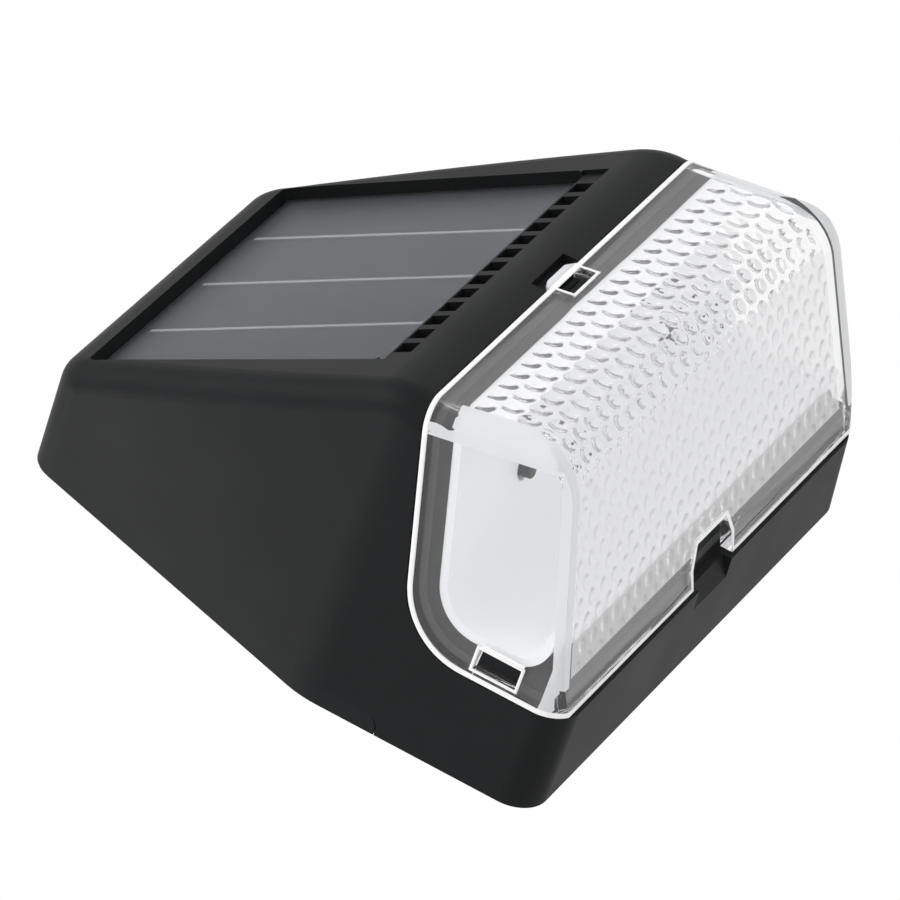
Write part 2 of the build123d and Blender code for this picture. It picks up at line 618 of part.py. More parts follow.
def make_led_bodies():
    lamps = []
    for x in led_spots():
        lamp = LED_VIEW * (Pos(x, 0, LED_SEAT + 0.4) * Box(3.5, 2.8, 0.8))
        lamps.append(lamp - ceiling_cylinder(x, LED_SEAT + 0.5, LED_SEAT + 1.5, 2.3))
    return group(lamps)


def make_led_faces():
    return group([ceiling_cylinder(x, LED_SEAT + 0.5, LED_SEAT + 0.78, 2.3) for x in led_spots()])


def make_led_screws():
    places = [Pos(x, 0, LED_SEAT) for x in (-LED_SCREW_X, LED_SCREW_X)]
    return group([LED_VIEW * (place * pan_screw(4.2)) for place in places])


# ---- solar panel -----------------------------------------------------------------------------
PANEL_START = RECESS_START + PANEL_GAP
PANEL_END = GUTTER_START - PANEL_GAP
TAPE_LOW = RECESS_DEPTH
BASE_LOW = TAPE_LOW - TAPE_T
CELL_LOW = BASE_LOW - PANEL_BASE_T
PANEL_TOP = CELL_LOW - RESIN_T


def make_panel_tape():
    frame = recess_face(PANEL_GAP + 1.5, PANEL_START + 1.5, PANEL_END - 1.5)
    hole = recess_face(PANEL_GAP + 9.5, PANEL_START + 9.5, PANEL_END - 9.5)
    return roof_slab(frame - hole - Pos(0, -14) * Circle(3), TAPE_LOW, BASE_LOW)


def make_panel_base():
    face = fillet(recess_face(PANEL_GAP, PANEL_START, PANEL_END).vertices(), 0.8)
    return roof_slab(face, BASE_LOW, CELL_LOW)


def make_panel_cells():
    field = recess_face(PANEL_GAP + 0.9, PANEL_START + 0.9, PANEL_END - 0.9)
    middle = (PANEL_START + PANEL_END) / 2
    strips = []
    for i in range(CELL_STRIPS):
        x = (i - (CELL_STRIPS - 1) / 2) * CELL_PITCH
        lane = Pos(x, -middle) * Rectangle(CELL_PITCH - CELL_GAP, PANEL_END - PANEL_START)
        strips.append(roof_slab(field & lane, CELL_LOW, CELL_LOW - CELL_T))
    return group(strips)


def make_bus_lines():
    middle = (PANEL_START + PANEL_END) / 2
    length = PANEL_END - PANEL_START - 3.0
    lines = []
    for i in range(CELL_STRIPS - 1):
        x = (i - (CELL_STRIPS - 2) / 2) * CELL_PITCH
        line = Pos(x, -middle) * Rectangle(BUS_W, length)
        lines.append(roof_slab(line, CELL_LOW, CELL_LOW - CELL_T - 0.05))
    return group(lines)


def make_panel_resin():
    face = fillet(recess_face(PANEL_GAP, PANEL_START, PANEL_END).vertices(), 0.8)
    body = roof_slab(face, CELL_LOW, PANEL_TOP)
    body = body - make_panel_cells() - make_bus_lines()
    top = [e for e in body.edges() if abs(ROOF_VIEW.to_local_coords(e.center()).Z + PANEL_TOP) < 0.01]
    return chamfer(top, 0.25)


# ---- rechargeable cell and its cradle --------------------------------------------------------
CELL_X = 1.6
CAN_L = 48.0
CAP_D = 5.6
CAP_L = 1.3
CONTACT_T = 0.4
SPRING_L = 6.1
SPRING_WIRE = 0.7
SPRING_TURNS = 3


def along_x(x, out, z, length, diameter):
    """Cylinder along X given by its start, axis and diameter."""
    return Pos(x + length / 2, -out, z) * Rot(0, 90, 0) * Cylinder(diameter / 2, length)


def make_cell_can():
    start = CELL_X - CAN_L / 2
    can = along_x(start, CELL_OUT, CELL_Z, CAN_L, CELL_D - 0.3)
    ends = [e for e in can.edges() if e.geom_type == GeomType.CIRCLE]
    can = fillet(ends, 0.6)
    neck = along_x(start + CAN_L - 0.8, CELL_OUT, CELL_Z, 1, 9.0)
    return can - (neck - along_x(start + CAN_L - 1, CELL_OUT, CELL_Z, 2, CAP_D + 0.6))


def make_cell_sleeve():
    start = CELL_X - CAN_L / 2 + 1.0
    sleeve = along_x(start, CELL_OUT, CELL_Z, CAN_L - 2.0, CELL_D)
    return sleeve - along_x(start - 1, CELL_OUT, CELL_Z, CAN_L, CELL_D - 0.3)


def make_cell_cap():
    cap = along_x(CELL_X + CAN_L / 2, CELL_OUT, CELL_Z, CAP_L, CAP_D)
    return fillet(cap.edges().filter_by(GeomType.CIRCLE).sort_by(Axis.X)[-1], 0.5)


def make_contact_plus():
    x = CELL_X + CAN_L / 2 + CAP_L
    plate = Pos(x + CONTACT_T / 2, -CELL_OUT, CELL_Z) * Box(CONTACT_T, 9.0, 9.0)
    tail = Pos(x + CONTACT_T / 2, -CELL_OUT, CELL_Z + 7.0) * Box(CONTACT_T, 2.4, 6.0)
    return plate + tail


def make_contact_minus():
    x = CELL_X - CAN_L / 2 - SPRING_L
    plate = Pos(x - CONTACT_T / 2, -CELL_OUT, CELL_Z) * Box(CONTACT_T, 9.0, 9.0)
    return plate + Pos(x - CONTACT_T / 2, -CELL_OUT, CELL_Z + 7.0) * Box(CONTACT_T, 2.4, 6.0)


def make_contact_spring():
    """Conical spring between the minus plate and the can."""
    pitch = (SPRING_L - SPRING_WIRE) / SPRING_TURNS
    path = Helix(pitch=pitch, height=pitch * SPRING_TURNS, radius=3.6, cone_angle=-12)
    start = path @ 0
    tangent = path % 0
    coil = sweep(Plane(origin=start, z_dir=tangent) * Circle(SPRING_WIRE / 2), path=path, is_frenet=True)
    x = CELL_X - CAN_L / 2 - SPRING_L + SPRING_WIRE / 2
    return Pos(x, -CELL_OUT, CELL_Z) * Rot(0, 90, 0) * coil


def make_cradle():
    left = CELL_X - CAN_L / 2 - SPRING_L - CONTACT_T
    right = CELL_X + CAN_L / 2 + CAP_L + CONTACT_T
    wall = 1.8
    mid = (left + right) / 2
    span = right - left + 2 * wall
    base = box(mid, 21.0, CRADLE_Z + CRADLE_T / 2, span + 4, 25.0, CRADLE_T)
    corners = base.edges().filter_by(Axis.Z)
    base = fillet(corners, 2.0)
    body = base
    top = CELL_Z - 1.0
    for x in (left + SPRING_L + 6, mid, right - 8):
        rib = box(x, CELL_OUT, (CRADLE_Z + top) / 2, 2.0, CELL_D + 3.0, top - CRADLE_Z)
        body = body + rib
    for x in (left - wall / 2, right + wall / 2):
        wall_h = CELL_Z + 5.0 - CRADLE_Z
        body = body + box(x, CELL_OUT, CRADLE_Z + wall_h / 2, wall, 13.0, wall_h)
    body = body - along_x(left, CELL_OUT, CELL_Z, right - left, CELL_D + 0.1)
    for x, out in cradle_spots():
        body = body - Pos(x, -out, CRADLE_Z) * Cylinder((SCREW_D + 0.1) / 2, 10)
    return body


def make_cradle_screws():
    return group([Pos(x, -out, CRADLE_Z + CRADLE_T) * pan_screw(5.5) for x, out in cradle_spots()])


# ---- main circuit board ----------------------------------------------------------------------
CHIP_Z = BOARD_MID_Z - 4.0
COIL_Z = BOARD_MID_Z + 3.5
CAPACITOR_Z = BOARD_MID_Z + 4.0
SWITCH_BODY = 7.0
SWITCH_H = 6.2
STEM_D = 3.4
STEM_FIT = 0.05           # running clearance of the switch stem
COIL_D = 6.0
COIL_H = 4.6
CAP_BODY_D = 5.0
CAP_BODY_H = 6.0


def make_main_board():
    wide, high, thick = BOARD
    body = box(0, BOARD_OUT + thick / 2, BOARD_MID_Z, wide, thick, high)
    body = fillet(body.edges().filter_by(Axis.Y), 1.0)
    for x, z in board_posts():
        body = body - out_cylinder(x, z, BOARD_OUT - 1, 4, SCREW_D + 0.1)
    return body


def make_board_screws():
    seat = BOARD_OUT + BOARD[2]
    return group([Pos(x, -seat, z) * Rot(90, 0, 0) * pan_screw(5.0) for x, z in board_posts()])


def make_driver_chip():
    start = BOARD_OUT + BOARD[2]
    body = box(8.0, start + 0.85, CHIP_Z, 5.0, 1.5, 4.0)
    for i in range(4):
        for side in (-1, 1):
            body = body + box(8.0 + (i - 1.5) * 1.27, start + 0.3, CHIP_Z + side * 2.6, 0.45, 0.6, 1.4)
    return body


def make_coil():
    start = BOARD_OUT + BOARD[2]
    flange = 0.8
    low = out_cylinder(-9.0, COIL_Z, start, flange, COIL_D)
    core = out_cylinder(-9.0, COIL_Z, start, COIL_H, COIL_D - 2.4)
    return low + core + out_cylinder(-9.0, COIL_Z, start + COIL_H - flange, flange, COIL_D)


def make_coil_winding():
    start = BOARD_OUT + BOARD[2]
    ring = out_cylinder(-9.0, COIL_Z, start + 0.8, COIL_H - 1.6, COIL_D - 0.6)
    return ring - out_cylinder(-9.0, COIL_Z, start, COIL_H, COIL_D - 2.4)


def make_capacitor():
    start = BOARD_OUT + BOARD[2]
    can = out_cylinder(10.0, CAPACITOR_Z, start, CAP_BODY_H - 1.4, CAP_BODY_D)
    return can - out_cylinder(10.0, CAPACITOR_Z, start + CAP_BODY_H - 1.7, 1, CAP_BODY_D - 1.2)


def make_switch_body():
    """Push switch on the wall side of the board."""
    start = BOARD_OUT - SWITCH_H
    body = box(0, BOARD_OUT - SWITCH_H / 2, BUTTON_Z, SWITCH_BODY, SWITCH_H, SWITCH_BODY)
    body = fillet(body.edges().filter_by(Axis.Y), 0.5)
    return body - out_cylinder(0, BUTTON_Z, start - 1, 4.2, STEM_D + 2 * STEM_FIT)


BUTTON_TOP = 3.0
BUTTON_FLANGE = 1.0


def make_switch_button():
    """Rubber push button with the flange that holds it behind the back cover."""
    top = out_cylinder(0, BUTTON_Z, BUTTON_SINK, BUTTON_TOP - BUTTON_SINK, BUTTON_D)
    face = [e for e in top.edges().filter_by(GeomType.CIRCLE) if abs(e.center().Y + BUTTON_SINK) < 0.01]
    top = fillet(face, 0.6)
    flange = out_cylinder(0, BUTTON_Z, BUTTON_TOP - 0.2, BUTTON_FLANGE, 10.4)
    body = top + flange
    return body - out_cylinder(0, BUTTON_Z, BUTTON_TOP - 0.6, 3, STEM_D)


def make_switch_stem():
    tip = BUTTON_TOP - 0.6
    return out_cylinder(0, BUTTON_Z, tip, 7.0 - tip, STEM_D)


# ---- leads -----------------------------------------------------------------------------------
def lead(points):
    """Round lead through a row of points given as (x, out, z)."""
    path = Spline([Vector(x, -out, z) for x, out, z in points])
    return sweep(Plane(origin=path @ 0, z_dir=path % 0) * Circle(WIRE_D / 2), path=path)


def panel_hole(x, depth):
    """Point in the lead hole below the panel, as (x, out, z)."""
    spot = ROOF_VIEW.from_local_coords(Vector(x, -14, -depth))
    return (spot.X, -spot.Y, spot.Z)


def make_panel_lead(side):
    start = BOARD_OUT + BOARD[2]
    top = panel_hole(side * 0.95, BASE_LOW + 0.35)
    low = panel_hole(side * 0.95, ROOF_WALL + 1.5)
    bend = (side * 2.6, start + 3.6, BOARD_MID_Z + 4.5)
    return lead([top, low, bend, (side * 3.4, start + 0.7, BOARD_MID_Z + 1.5)])


def make_cell_lead(side):
    board = BOARD_OUT + BOARD[2]
    if side > 0:
        x_end = CELL_X + CAN_L / 2 + CAP_L + CONTACT_T
    else:
        x_end = CELL_X - CAN_L / 2 - SPRING_L - CONTACT_T
    x_out = x_end + side * (WIRE_D / 2 + 0.15)
    return lead([(x_out, CELL_OUT, CELL_Z + 8.6), (x_out - side * 1.5, CELL_OUT - 1.5, CELL_Z + 14),
                 (side * 20.5, board + 1.4, BOARD_MID_Z + 1.5), (side * 16.0, board + 0.75, BOARD_MID_Z)])


def make_led_lead(side):
    local = [(26.0, side * 1.2, LED_SEAT + 0.75), (30.0, side * 1.1, LED_SEAT + 0.7),
             (LED_LEAD_X - 1.4, side, 1.9), (LED_LEAD_X, side, -1.0), (LED_LEAD_X, side, -4.0)]
    spots = [LED_VIEW.from_local_coords(Vector(*spot)) for spot in local]
    points = [(spot.X, -spot.Y, spot.Z) for spot in spots]
    points += [(LED_LEAD_X, 27.0 + side, 40.0), (LED_LEAD_X - 1.0, 20.0 + side, 49.0),
               (30.0, 14.6, BOARD_MID_Z - 6.0 + side), (25.7, BOARD_OUT + 0.6, BOARD_MID_Z - 2.0 + side * 1.3)]
    return lead(points)


PARTS = {
    "housing": make_housing,
    "lens_cover": make_lens_cover,
    "cover_seal": make_cover_seal,
    "back_cover": make_back_cover,
    "back_seal": make_back_seal,
    "back_screws": make_back_screws,
    "reflector": make_reflector,
    "led_board": make_led_board,
    "led_bodies": make_led_bodies,
    "led_faces": make_led_faces,
    "led_screws": make_led_screws,
    "panel_tape": make_panel_tape,
    "panel_base": make_panel_base,
    "panel_cells": make_panel_cells,
    "panel_bus_lines": make_bus_lines,
    "panel_resin": make_panel_resin,
    "cell_can": make_cell_can,
    "cell_sleeve": make_cell_sleeve,
    "cell_cap": make_cell_cap,
    "contact_plus": make_contact_plus,
    "contact_minus": make_contact_minus,
    "contact_spring": make_contact_spring,
    "cell_cradle": make_cradle,
    "cradle_screws": make_cradle_screws,
    "main_board": make_main_board,
    "board_screws": make_board_screws,
    "driver_chip": make_driver_chip,
    "coil_core": make_coil,
    "coil_winding": make_coil_winding,
    "capacitor": make_capacitor,
    "switch_body": make_switch_body,
    "switch_stem": make_switch_stem,
    "switch_button": make_switch_button,
    "panel_lead_red": lambda: make_panel_lead(1),
    "panel_lead_black": lambda: make_panel_lead(-1),
    "cell_lead_red": lambda: make_cell_lead(1),
    "cell_lead_black": lambda: make_cell_lead(-1),
    "led_lead_red": lambda: make_led_lead(1),
    "led_lead_black": lambda: make_led_lead(-1),
}

os.makedirs("parts", exist_ok=True)
for name, make in PARTS.items():
    solid = Pos(0, 0, -HANG_Z) * make()
    print(name, round(solid.volume, 1), len(solid.solids()))
    export_step(solid, "parts/" + name + ".step")
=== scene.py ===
"""Solar fence light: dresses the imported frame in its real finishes, moulds the prism relief into the clear
cover, casts the panel's resin, gives the LEDs collars and domes, and sets a plain white studio round it."""

from __future__ import annotations

import logging
import math
from dataclasses import dataclass
from enum import Enum, IntEnum
from typing import Callable

import bmesh
import bpy
from bmesh.types import BMEdge, BMesh, BMFace, BMVert
from bpy.types import Material, Node, NodeSocket, NodeTree, Object
from mathutils import Matrix, Vector

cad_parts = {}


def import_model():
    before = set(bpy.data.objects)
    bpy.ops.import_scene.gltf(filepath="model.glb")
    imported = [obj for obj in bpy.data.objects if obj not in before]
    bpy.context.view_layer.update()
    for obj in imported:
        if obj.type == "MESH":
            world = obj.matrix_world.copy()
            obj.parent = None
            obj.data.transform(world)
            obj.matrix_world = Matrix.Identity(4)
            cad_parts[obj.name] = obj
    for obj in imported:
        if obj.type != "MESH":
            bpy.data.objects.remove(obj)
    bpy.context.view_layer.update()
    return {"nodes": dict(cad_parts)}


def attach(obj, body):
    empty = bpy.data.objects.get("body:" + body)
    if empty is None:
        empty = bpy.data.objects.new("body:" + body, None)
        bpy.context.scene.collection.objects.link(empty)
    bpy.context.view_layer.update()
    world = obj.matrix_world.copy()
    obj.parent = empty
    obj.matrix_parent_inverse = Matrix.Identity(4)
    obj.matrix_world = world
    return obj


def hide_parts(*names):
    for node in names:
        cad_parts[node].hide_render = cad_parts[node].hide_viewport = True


LOG = logging.getLogger("fence_light")
MM = 0.001
TOUCH = 0.03  # mm by which a point may miss the place that it belongs to
Triple = tuple[float, float, float]

# Places are given in mm as X, the distance out from the wall, and the height above the slab's underside.
HANG_Z = 73.0  # height of the origin, which lies between the two hanging screws
NOSE_OUT = 47.0
RIM_FRONT_Z = 34.3  # height of the parting line between housing and clear cover, at the nose
RIM_RISE = 0.262  # rise of that line for each mm away from the wall


def row_point(x: float, out: float, z: float) -> Vector:
    """Point in metres, in the row's frame, from a place in mm."""
    return Vector((x * MM, -out * MM, (z - HANG_Z) * MM))


def place_of(point: Vector) -> Triple:
    """Place in mm of a point in the row's frame."""
    return point.x / MM, -point.y / MM, point.z / MM + HANG_Z


def front_z(out: float) -> float:
    """Height of the parting line on the roof's side of its bend."""
    return RIM_FRONT_Z + RIM_RISE * (out - NOSE_OUT)


def linear(colour: str) -> tuple[float, float, float, float]:
    """Turns an sRGB hex colour into the linear RGBA that the shaders take.

    Args:
        colour: Six hex digits after a hash sign.

    Returns:
        Linear red, green, blue and an alpha of 1.
    """
    parts = [int(colour[i : i + 2], 16) / 255 for i in (1, 3, 5)]
    low = [c / 12.92 if c <= 0.04045 else ((c + 0.055) / 1.055) ** 2.4 for c in parts]
    return (low[0], low[1], low[2], 1.0)


def add_node(tree: NodeTree, kind: str, feeds: dict | None = None, **settings: object) -> Node:
    """Adds a shader node, sets it up and joins its inputs.

    Args:
        tree: The node tree that gets the node.
        kind: Blender's name of the node type.
        feeds: Input name or number to a value, or to the output socket that feeds it.
        settings: Attributes of the node, such as operation.

    Returns:
        The new node.
    """
    node = tree.nodes.new(kind)
    for name, value in settings.items():
        setattr(node, name, value)
    for key, value in (feeds or {}).items():
        if isinstance(value, NodeSocket):
            tree.links.new(value, node.inputs[key])
        else:
            node.inputs[key].default_value = value
    return node


def mesh_data(name: str, mesh: BMesh) -> bpy.types.Mesh:
    """Turns a bmesh into mesh data and frees it."""
    data = bpy.data.meshes.new(name)
    mesh.to_mesh(data)
    mesh.free()
    return data


def add_object(name: str, data: bpy.types.ID) -> Object:
    """Puts an object with this data into the scene."""
    made = bpy.data.objects.new(name, data)
    bpy.context.scene.collection.objects.link(made)
    return made


# ---- finishes ----------------------------------------------------------------------------------
HAZE = "#8c8e92"  # pale tone that a pigment wanders towards
WAVE_PERIOD = 0.314  # length of one band of Blender's wave texture at a scale of 1


@dataclass
class Skin:
    """Fields of 0..1 over a surface, for its tone, its gloss and its relief; an even one has none."""

    tone: NodeSocket | None = None
    gloss: NodeSocket | None = None
    relief: NodeSocket | None = None


def clouds(tree: NodeTree, spot: NodeSocket, size_mm: float, detail: float = 2.0,
           stretch: Triple = (1.0, 1.0, 1.0)) -> NodeSocket:
    """Draws random clouds of a real size.

    Args:
        tree: The node tree.
        spot: Coordinates, in metres.
        size_mm: Size of one cloud.
        detail: Octaves of finer clouds within it.
        stretch: Factors on the coordinates, below 1 where the clouds are drawn out.

    Returns:
        The field, 0..1.
    """
    mapped = add_node(tree, "ShaderNodeMapping", {"Vector": spot, "Scale": stretch}).outputs["Vector"]
    feeds = {"Vector": mapped, "Scale": 1.0 / (size_mm * MM), "Detail": detail}
    return add_node(tree, "ShaderNodeTexNoise", feeds).outputs["Fac"]


@dataclass(frozen=True)
class Finish:
    """A surface finish: one Principled shader, steered by the fields that each kind of finish draws."""

    name: str
    colour: str
    roughness: float = 0.5
    ior: float = 1.5
    specular: float = 0.5
    metallic: float = 0.0
    clearness: float = 0.0
    second: str = HAZE  # colour that the tone brings in
    wander: float = 1.0  # how much of it shows at most
    glossier: float = 0.0  # how far the roughness goes below its mean
    duller: float = 0.0  # how far it goes above
    depth_mm: float = 0.0  # how deep the relief is
    bump: float = 1.0  # share of the relief that shows

    def build(self) -> Material:
        """Makes the material of this finish.

        Returns:
            The material, made once and found by its name after that.
        """
        done = bpy.data.materials.get(self.name)
        if done is not None:
            return done
        material = bpy.data.materials.new(self.name)
        material.use_nodes = True
        tree = material.node_tree
        tree.nodes.clear()
        skin = self.skin(tree, add_node(tree, "ShaderNodeTexCoord").outputs["Object"])
        shader = add_node(tree, "ShaderNodeBsdfPrincipled", self.feeds(tree, skin))
        add_node(tree, "ShaderNodeOutputMaterial", {"Surface": self.surface(tree, shader)})
        return material

    def feeds(self, tree: NodeTree, skin: Skin) -> dict[str, object]:
        """Works out what goes into the shader.

        Args:
            tree: The material's node tree.
            skin: The fields of the surface.

        Returns:
            Name of each input that is set, and its value or the output that feeds it.
        """
        feeds = {
            "Base Color": linear(self.colour), "Roughness": self.roughness, "Metallic": self.metallic,
            "IOR": self.ior, "Specular IOR Level": self.specular, "Transmission Weight": self.clearness,
        }
        if skin.tone is not None:
            share = add_node(tree, "ShaderNodeMapRange", {"Value": skin.tone, "To Max": self.wander})
            mix = {"Factor": share.outputs["Result"], "A": linear(self.colour), "B": linear(self.second)}
            feeds["Base Color"] = add_node(tree, "ShaderNodeMix", mix, data_type="RGBA").outputs["Result"]
        if skin.gloss is not None:
            low, high = self.roughness - self.glossier, self.roughness + self.duller
            span = {"Value": skin.gloss, "To Min": low, "To Max": high}
            feeds["Roughness"] = add_node(tree, "ShaderNodeMapRange", span).outputs["Result"]
        if skin.relief is not None:
            height = {"Height": skin.relief, "Distance": self.depth_mm * MM, "Strength": self.bump}
            feeds["Normal"] = add_node(tree, "ShaderNodeBump", height).outputs["Normal"]
        return feeds

    def surface(self, tree: NodeTree, shader: Node) -> NodeSocket:
        """Output that goes to the material: the Principled shader itself."""
        return shader.outputs["BSDF"]

    def skin(self, tree: NodeTree, spot: NodeSocket) -> Skin:
        """Fields of the surface; the plain finish is even."""
        return Skin()


@dataclass(frozen=True)
class MouldedPlastic(Finish):
    """Injection-moulded plastic: spark-eroded grain in the mould gives a fine, even satin surface. The gloss
    has slight flow marks and the pigment a hint of clouds."""

    grain_mm: float = 0.45  # real grain is about 0.1 mm; drawn coarser so that it shows in the render
    depth_mm: float = 0.012
    bump: float = 0.5
    cloud_mm: float = 9.0
    wander: float = 0.05
    flow_mm: float = 14.0
    stretch: Triple = (1.0, 1.0, 0.4)
    glossier: float = 0.05
    duller: float = 0.06

    def skin(self, tree: NodeTree, spot: NodeSocket) -> Skin:
        """Clouds of pigment, flow marks and satin grain."""
        flow = clouds(tree, spot, self.flow_mm, stretch=self.stretch)
        return Skin(clouds(tree, spot, self.cloud_mm, 3.0), flow, clouds(tree, spot, self.grain_mm, 3.0))


@dataclass(frozen=True)
class ClearPolystyrene(Finish):
    """Crystal polystyrene, polished mould: fully clear, bright edges, faint flow waviness."""

    clearness: float = 1.0
    wave_mm: float = 6.0
    depth_mm: float = 0.006
    bump: float = 0.3
    veil: str = "#fdfdfe"

    def surface(self, tree: NodeTree, shader: Node) -> NodeSocket:
        """Lets light from lamps and from the room pass, so that the white chamber behind stays bright.

        Args:
            tree: The material's node tree.
            shader: Its Principled shader.

        Returns:
            The output that goes to the material.
        """
        path = add_node(tree, "ShaderNodeLightPath").outputs
        veil = add_node(tree, "ShaderNodeBsdfTransparent", {"Color": linear(self.veil)})
        rays = {0: path["Is Shadow Ray"], 1: path["Is Diffuse Ray"]}
        passing = add_node(tree, "ShaderNodeMath", rays, operation="MAXIMUM").outputs[0]
        both = {"Fac": passing, 1: shader.outputs["BSDF"], 2: veil.outputs["BSDF"]}
        return add_node(tree, "ShaderNodeMixShader", both).outputs["Shader"]

    def skin(self, tree: NodeTree, spot: NodeSocket) -> Skin:
        """The gentle waviness of a moulded or cast wall."""
        return Skin(relief=clouds(tree, spot, self.wave_mm))


@dataclass(frozen=True)
class CastEpoxy(ClearPolystyrene):
    """Epoxy poured over the cells: slightly cloudy, with a satin skin and soft waves from curing."""

    clearness: float = 0.985
    wave_mm: float = 5.0
    depth_mm: float = 0.03
    bump: float = 0.25


@dataclass(frozen=True)
class SiliconStrip(Finish):
    """Amorphous silicon on its carrier: dark grey with very fine parallel scribe lines and a soft change of
    tone over the panel."""

    line_mm: float = 0.5
    along: float = 12.0  # per metre: a line keeps its tone over some 80 mm
    tone_mm: float = 22.0
    second: str = "#45484c"
    wander: float = 0.5

    def skin(self, tree: NodeTree, spot: NodeSocket) -> Skin:
        """Draws fine lines along the strips.

        Args:
            tree: The material's node tree.
            spot: Coordinates, in metres.

        Returns:
            The fields of the surface.
        """
        across = {"Vector": spot, "Scale": (1.0 / (self.line_mm * MM), self.along, self.along)}
        mapped = add_node(tree, "ShaderNodeMapping", across).outputs["Vector"]
        lines = add_node(tree, "ShaderNodeTexNoise", {"Vector": mapped, "Scale": 1.0}).outputs["Fac"]
        both = {0: lines, 1: clouds(tree, spot, self.tone_mm, 1.0)}
        return Skin(tone=add_node(tree, "ShaderNodeMath", both, operation="MULTIPLY").outputs[0])


@dataclass(frozen=True)
class Metal(Finish):
    """Drawn, plated or printed metal: fine streaks from rolling or turning in the gloss."""

    streak_mm: float = 0.3
    stretch: Triple = (1.0, 1.0, 0.15)
    glossier: float = 0.08
    duller: float = 0.1
    depth_mm: float = 0.01
    bump: float = 0.4

    def skin(self, tree: NodeTree, spot: NodeSocket) -> Skin:
        """Streaks in the gloss, with a shallow relief."""
        streaks = clouds(tree, spot, self.streak_mm, 3.0, self.stretch)
        return Skin(gloss=streaks, relief=streaks)


@dataclass(frozen=True)
class Rubber(Finish):
    """Moulded silicone or PVC: soft broad sheen and a slightly cloudy skin with a faint orange peel."""

    cloud_mm: float = 3.0
    wander: float = 0.06
    peel_mm: float = 0.8
    depth_mm: float = 0.02
    bump: float = 0.4

    def skin(self, tree: NodeTree, spot: NodeSocket) -> Skin:
        """Clouds and orange peel."""
        return Skin(tone=clouds(tree, spot, self.cloud_mm, 3.0), relief=clouds(tree, spot, self.peel_mm))


@dataclass(frozen=True)
class SolderMask(Finish):
    """Solder mask over copper tracks: tracks stand up under the lacquer and look lighter."""

    second: str = "#2f8f58"
    track_mm: float = 1.6
    track_end: tuple[float, float] = (0.42, 0.46)  # shares of the spacing between which a track falls off
    disorder: float = 0.75
    depth_mm: float = 0.03
    bump: float = 0.5

    def skin(self, tree: NodeTree, spot: NodeSocket) -> Skin:
        """Draws blocky tracks.

        Args:
            tree: The material's node tree.
            spot: Coordinates, in metres.

        Returns:
            The fields of the surface.
        """
        blocks = {"Vector": spot, "Scale": 1.0 / (self.track_mm * MM), "Randomness": self.disorder}
        away = add_node(tree, "ShaderNodeTexVoronoi", blocks, distance="CHEBYCHEV").outputs["Distance"]
        start, end = self.track_end
        fall = {"Value": away, "From Min": start, "From Max": end, "To Min": 1.0, "To Max": 0.0}
        tracks = add_node(tree, "ShaderNodeMapRange", fall).outputs["Result"]
        return Skin(tone=tracks, relief=tracks)


@dataclass(frozen=True)
class Foam(Finish):
    """Closed-cell foam: tiny open pores on the cut faces, over a slightly uneven tone."""

    pore_mm: float = 0.3
    depth_mm: float = 0.08
    bump: float = 0.7
    cloud_mm: float = 1.0
    wander: float = 0.08

    def skin(self, tree: NodeTree, spot: NodeSocket) -> Skin:
        """Clouds and round pores."""
        pores = add_node(tree, "ShaderNodeTexVoronoi", {"Vector": spot, "Scale": 1.0 / (self.pore_mm * MM)})
        return Skin(tone=clouds(tree, spot, self.cloud_mm, 3.0), relief=pores.outputs["Distance"])


@dataclass(frozen=True)
class WoundWire(Finish):
    """Enamelled copper wound on a core: rings of round wire along the coil's axis."""

    pitch_mm: float = 0.35
    depth_mm: float = 0.12
    bump: float = 0.9

    def skin(self, tree: NodeTree, spot: NodeSocket) -> Skin:
        """Turns of wire across the coil's axis, which points out from the wall."""
        turns = {"Vector": spot, "Scale": WAVE_PERIOD / (self.pitch_mm * MM), "Distortion": 0.0}
        return Skin(relief=add_node(tree, "ShaderNodeTexWave", turns, bands_direction="Y").outputs["Fac"])


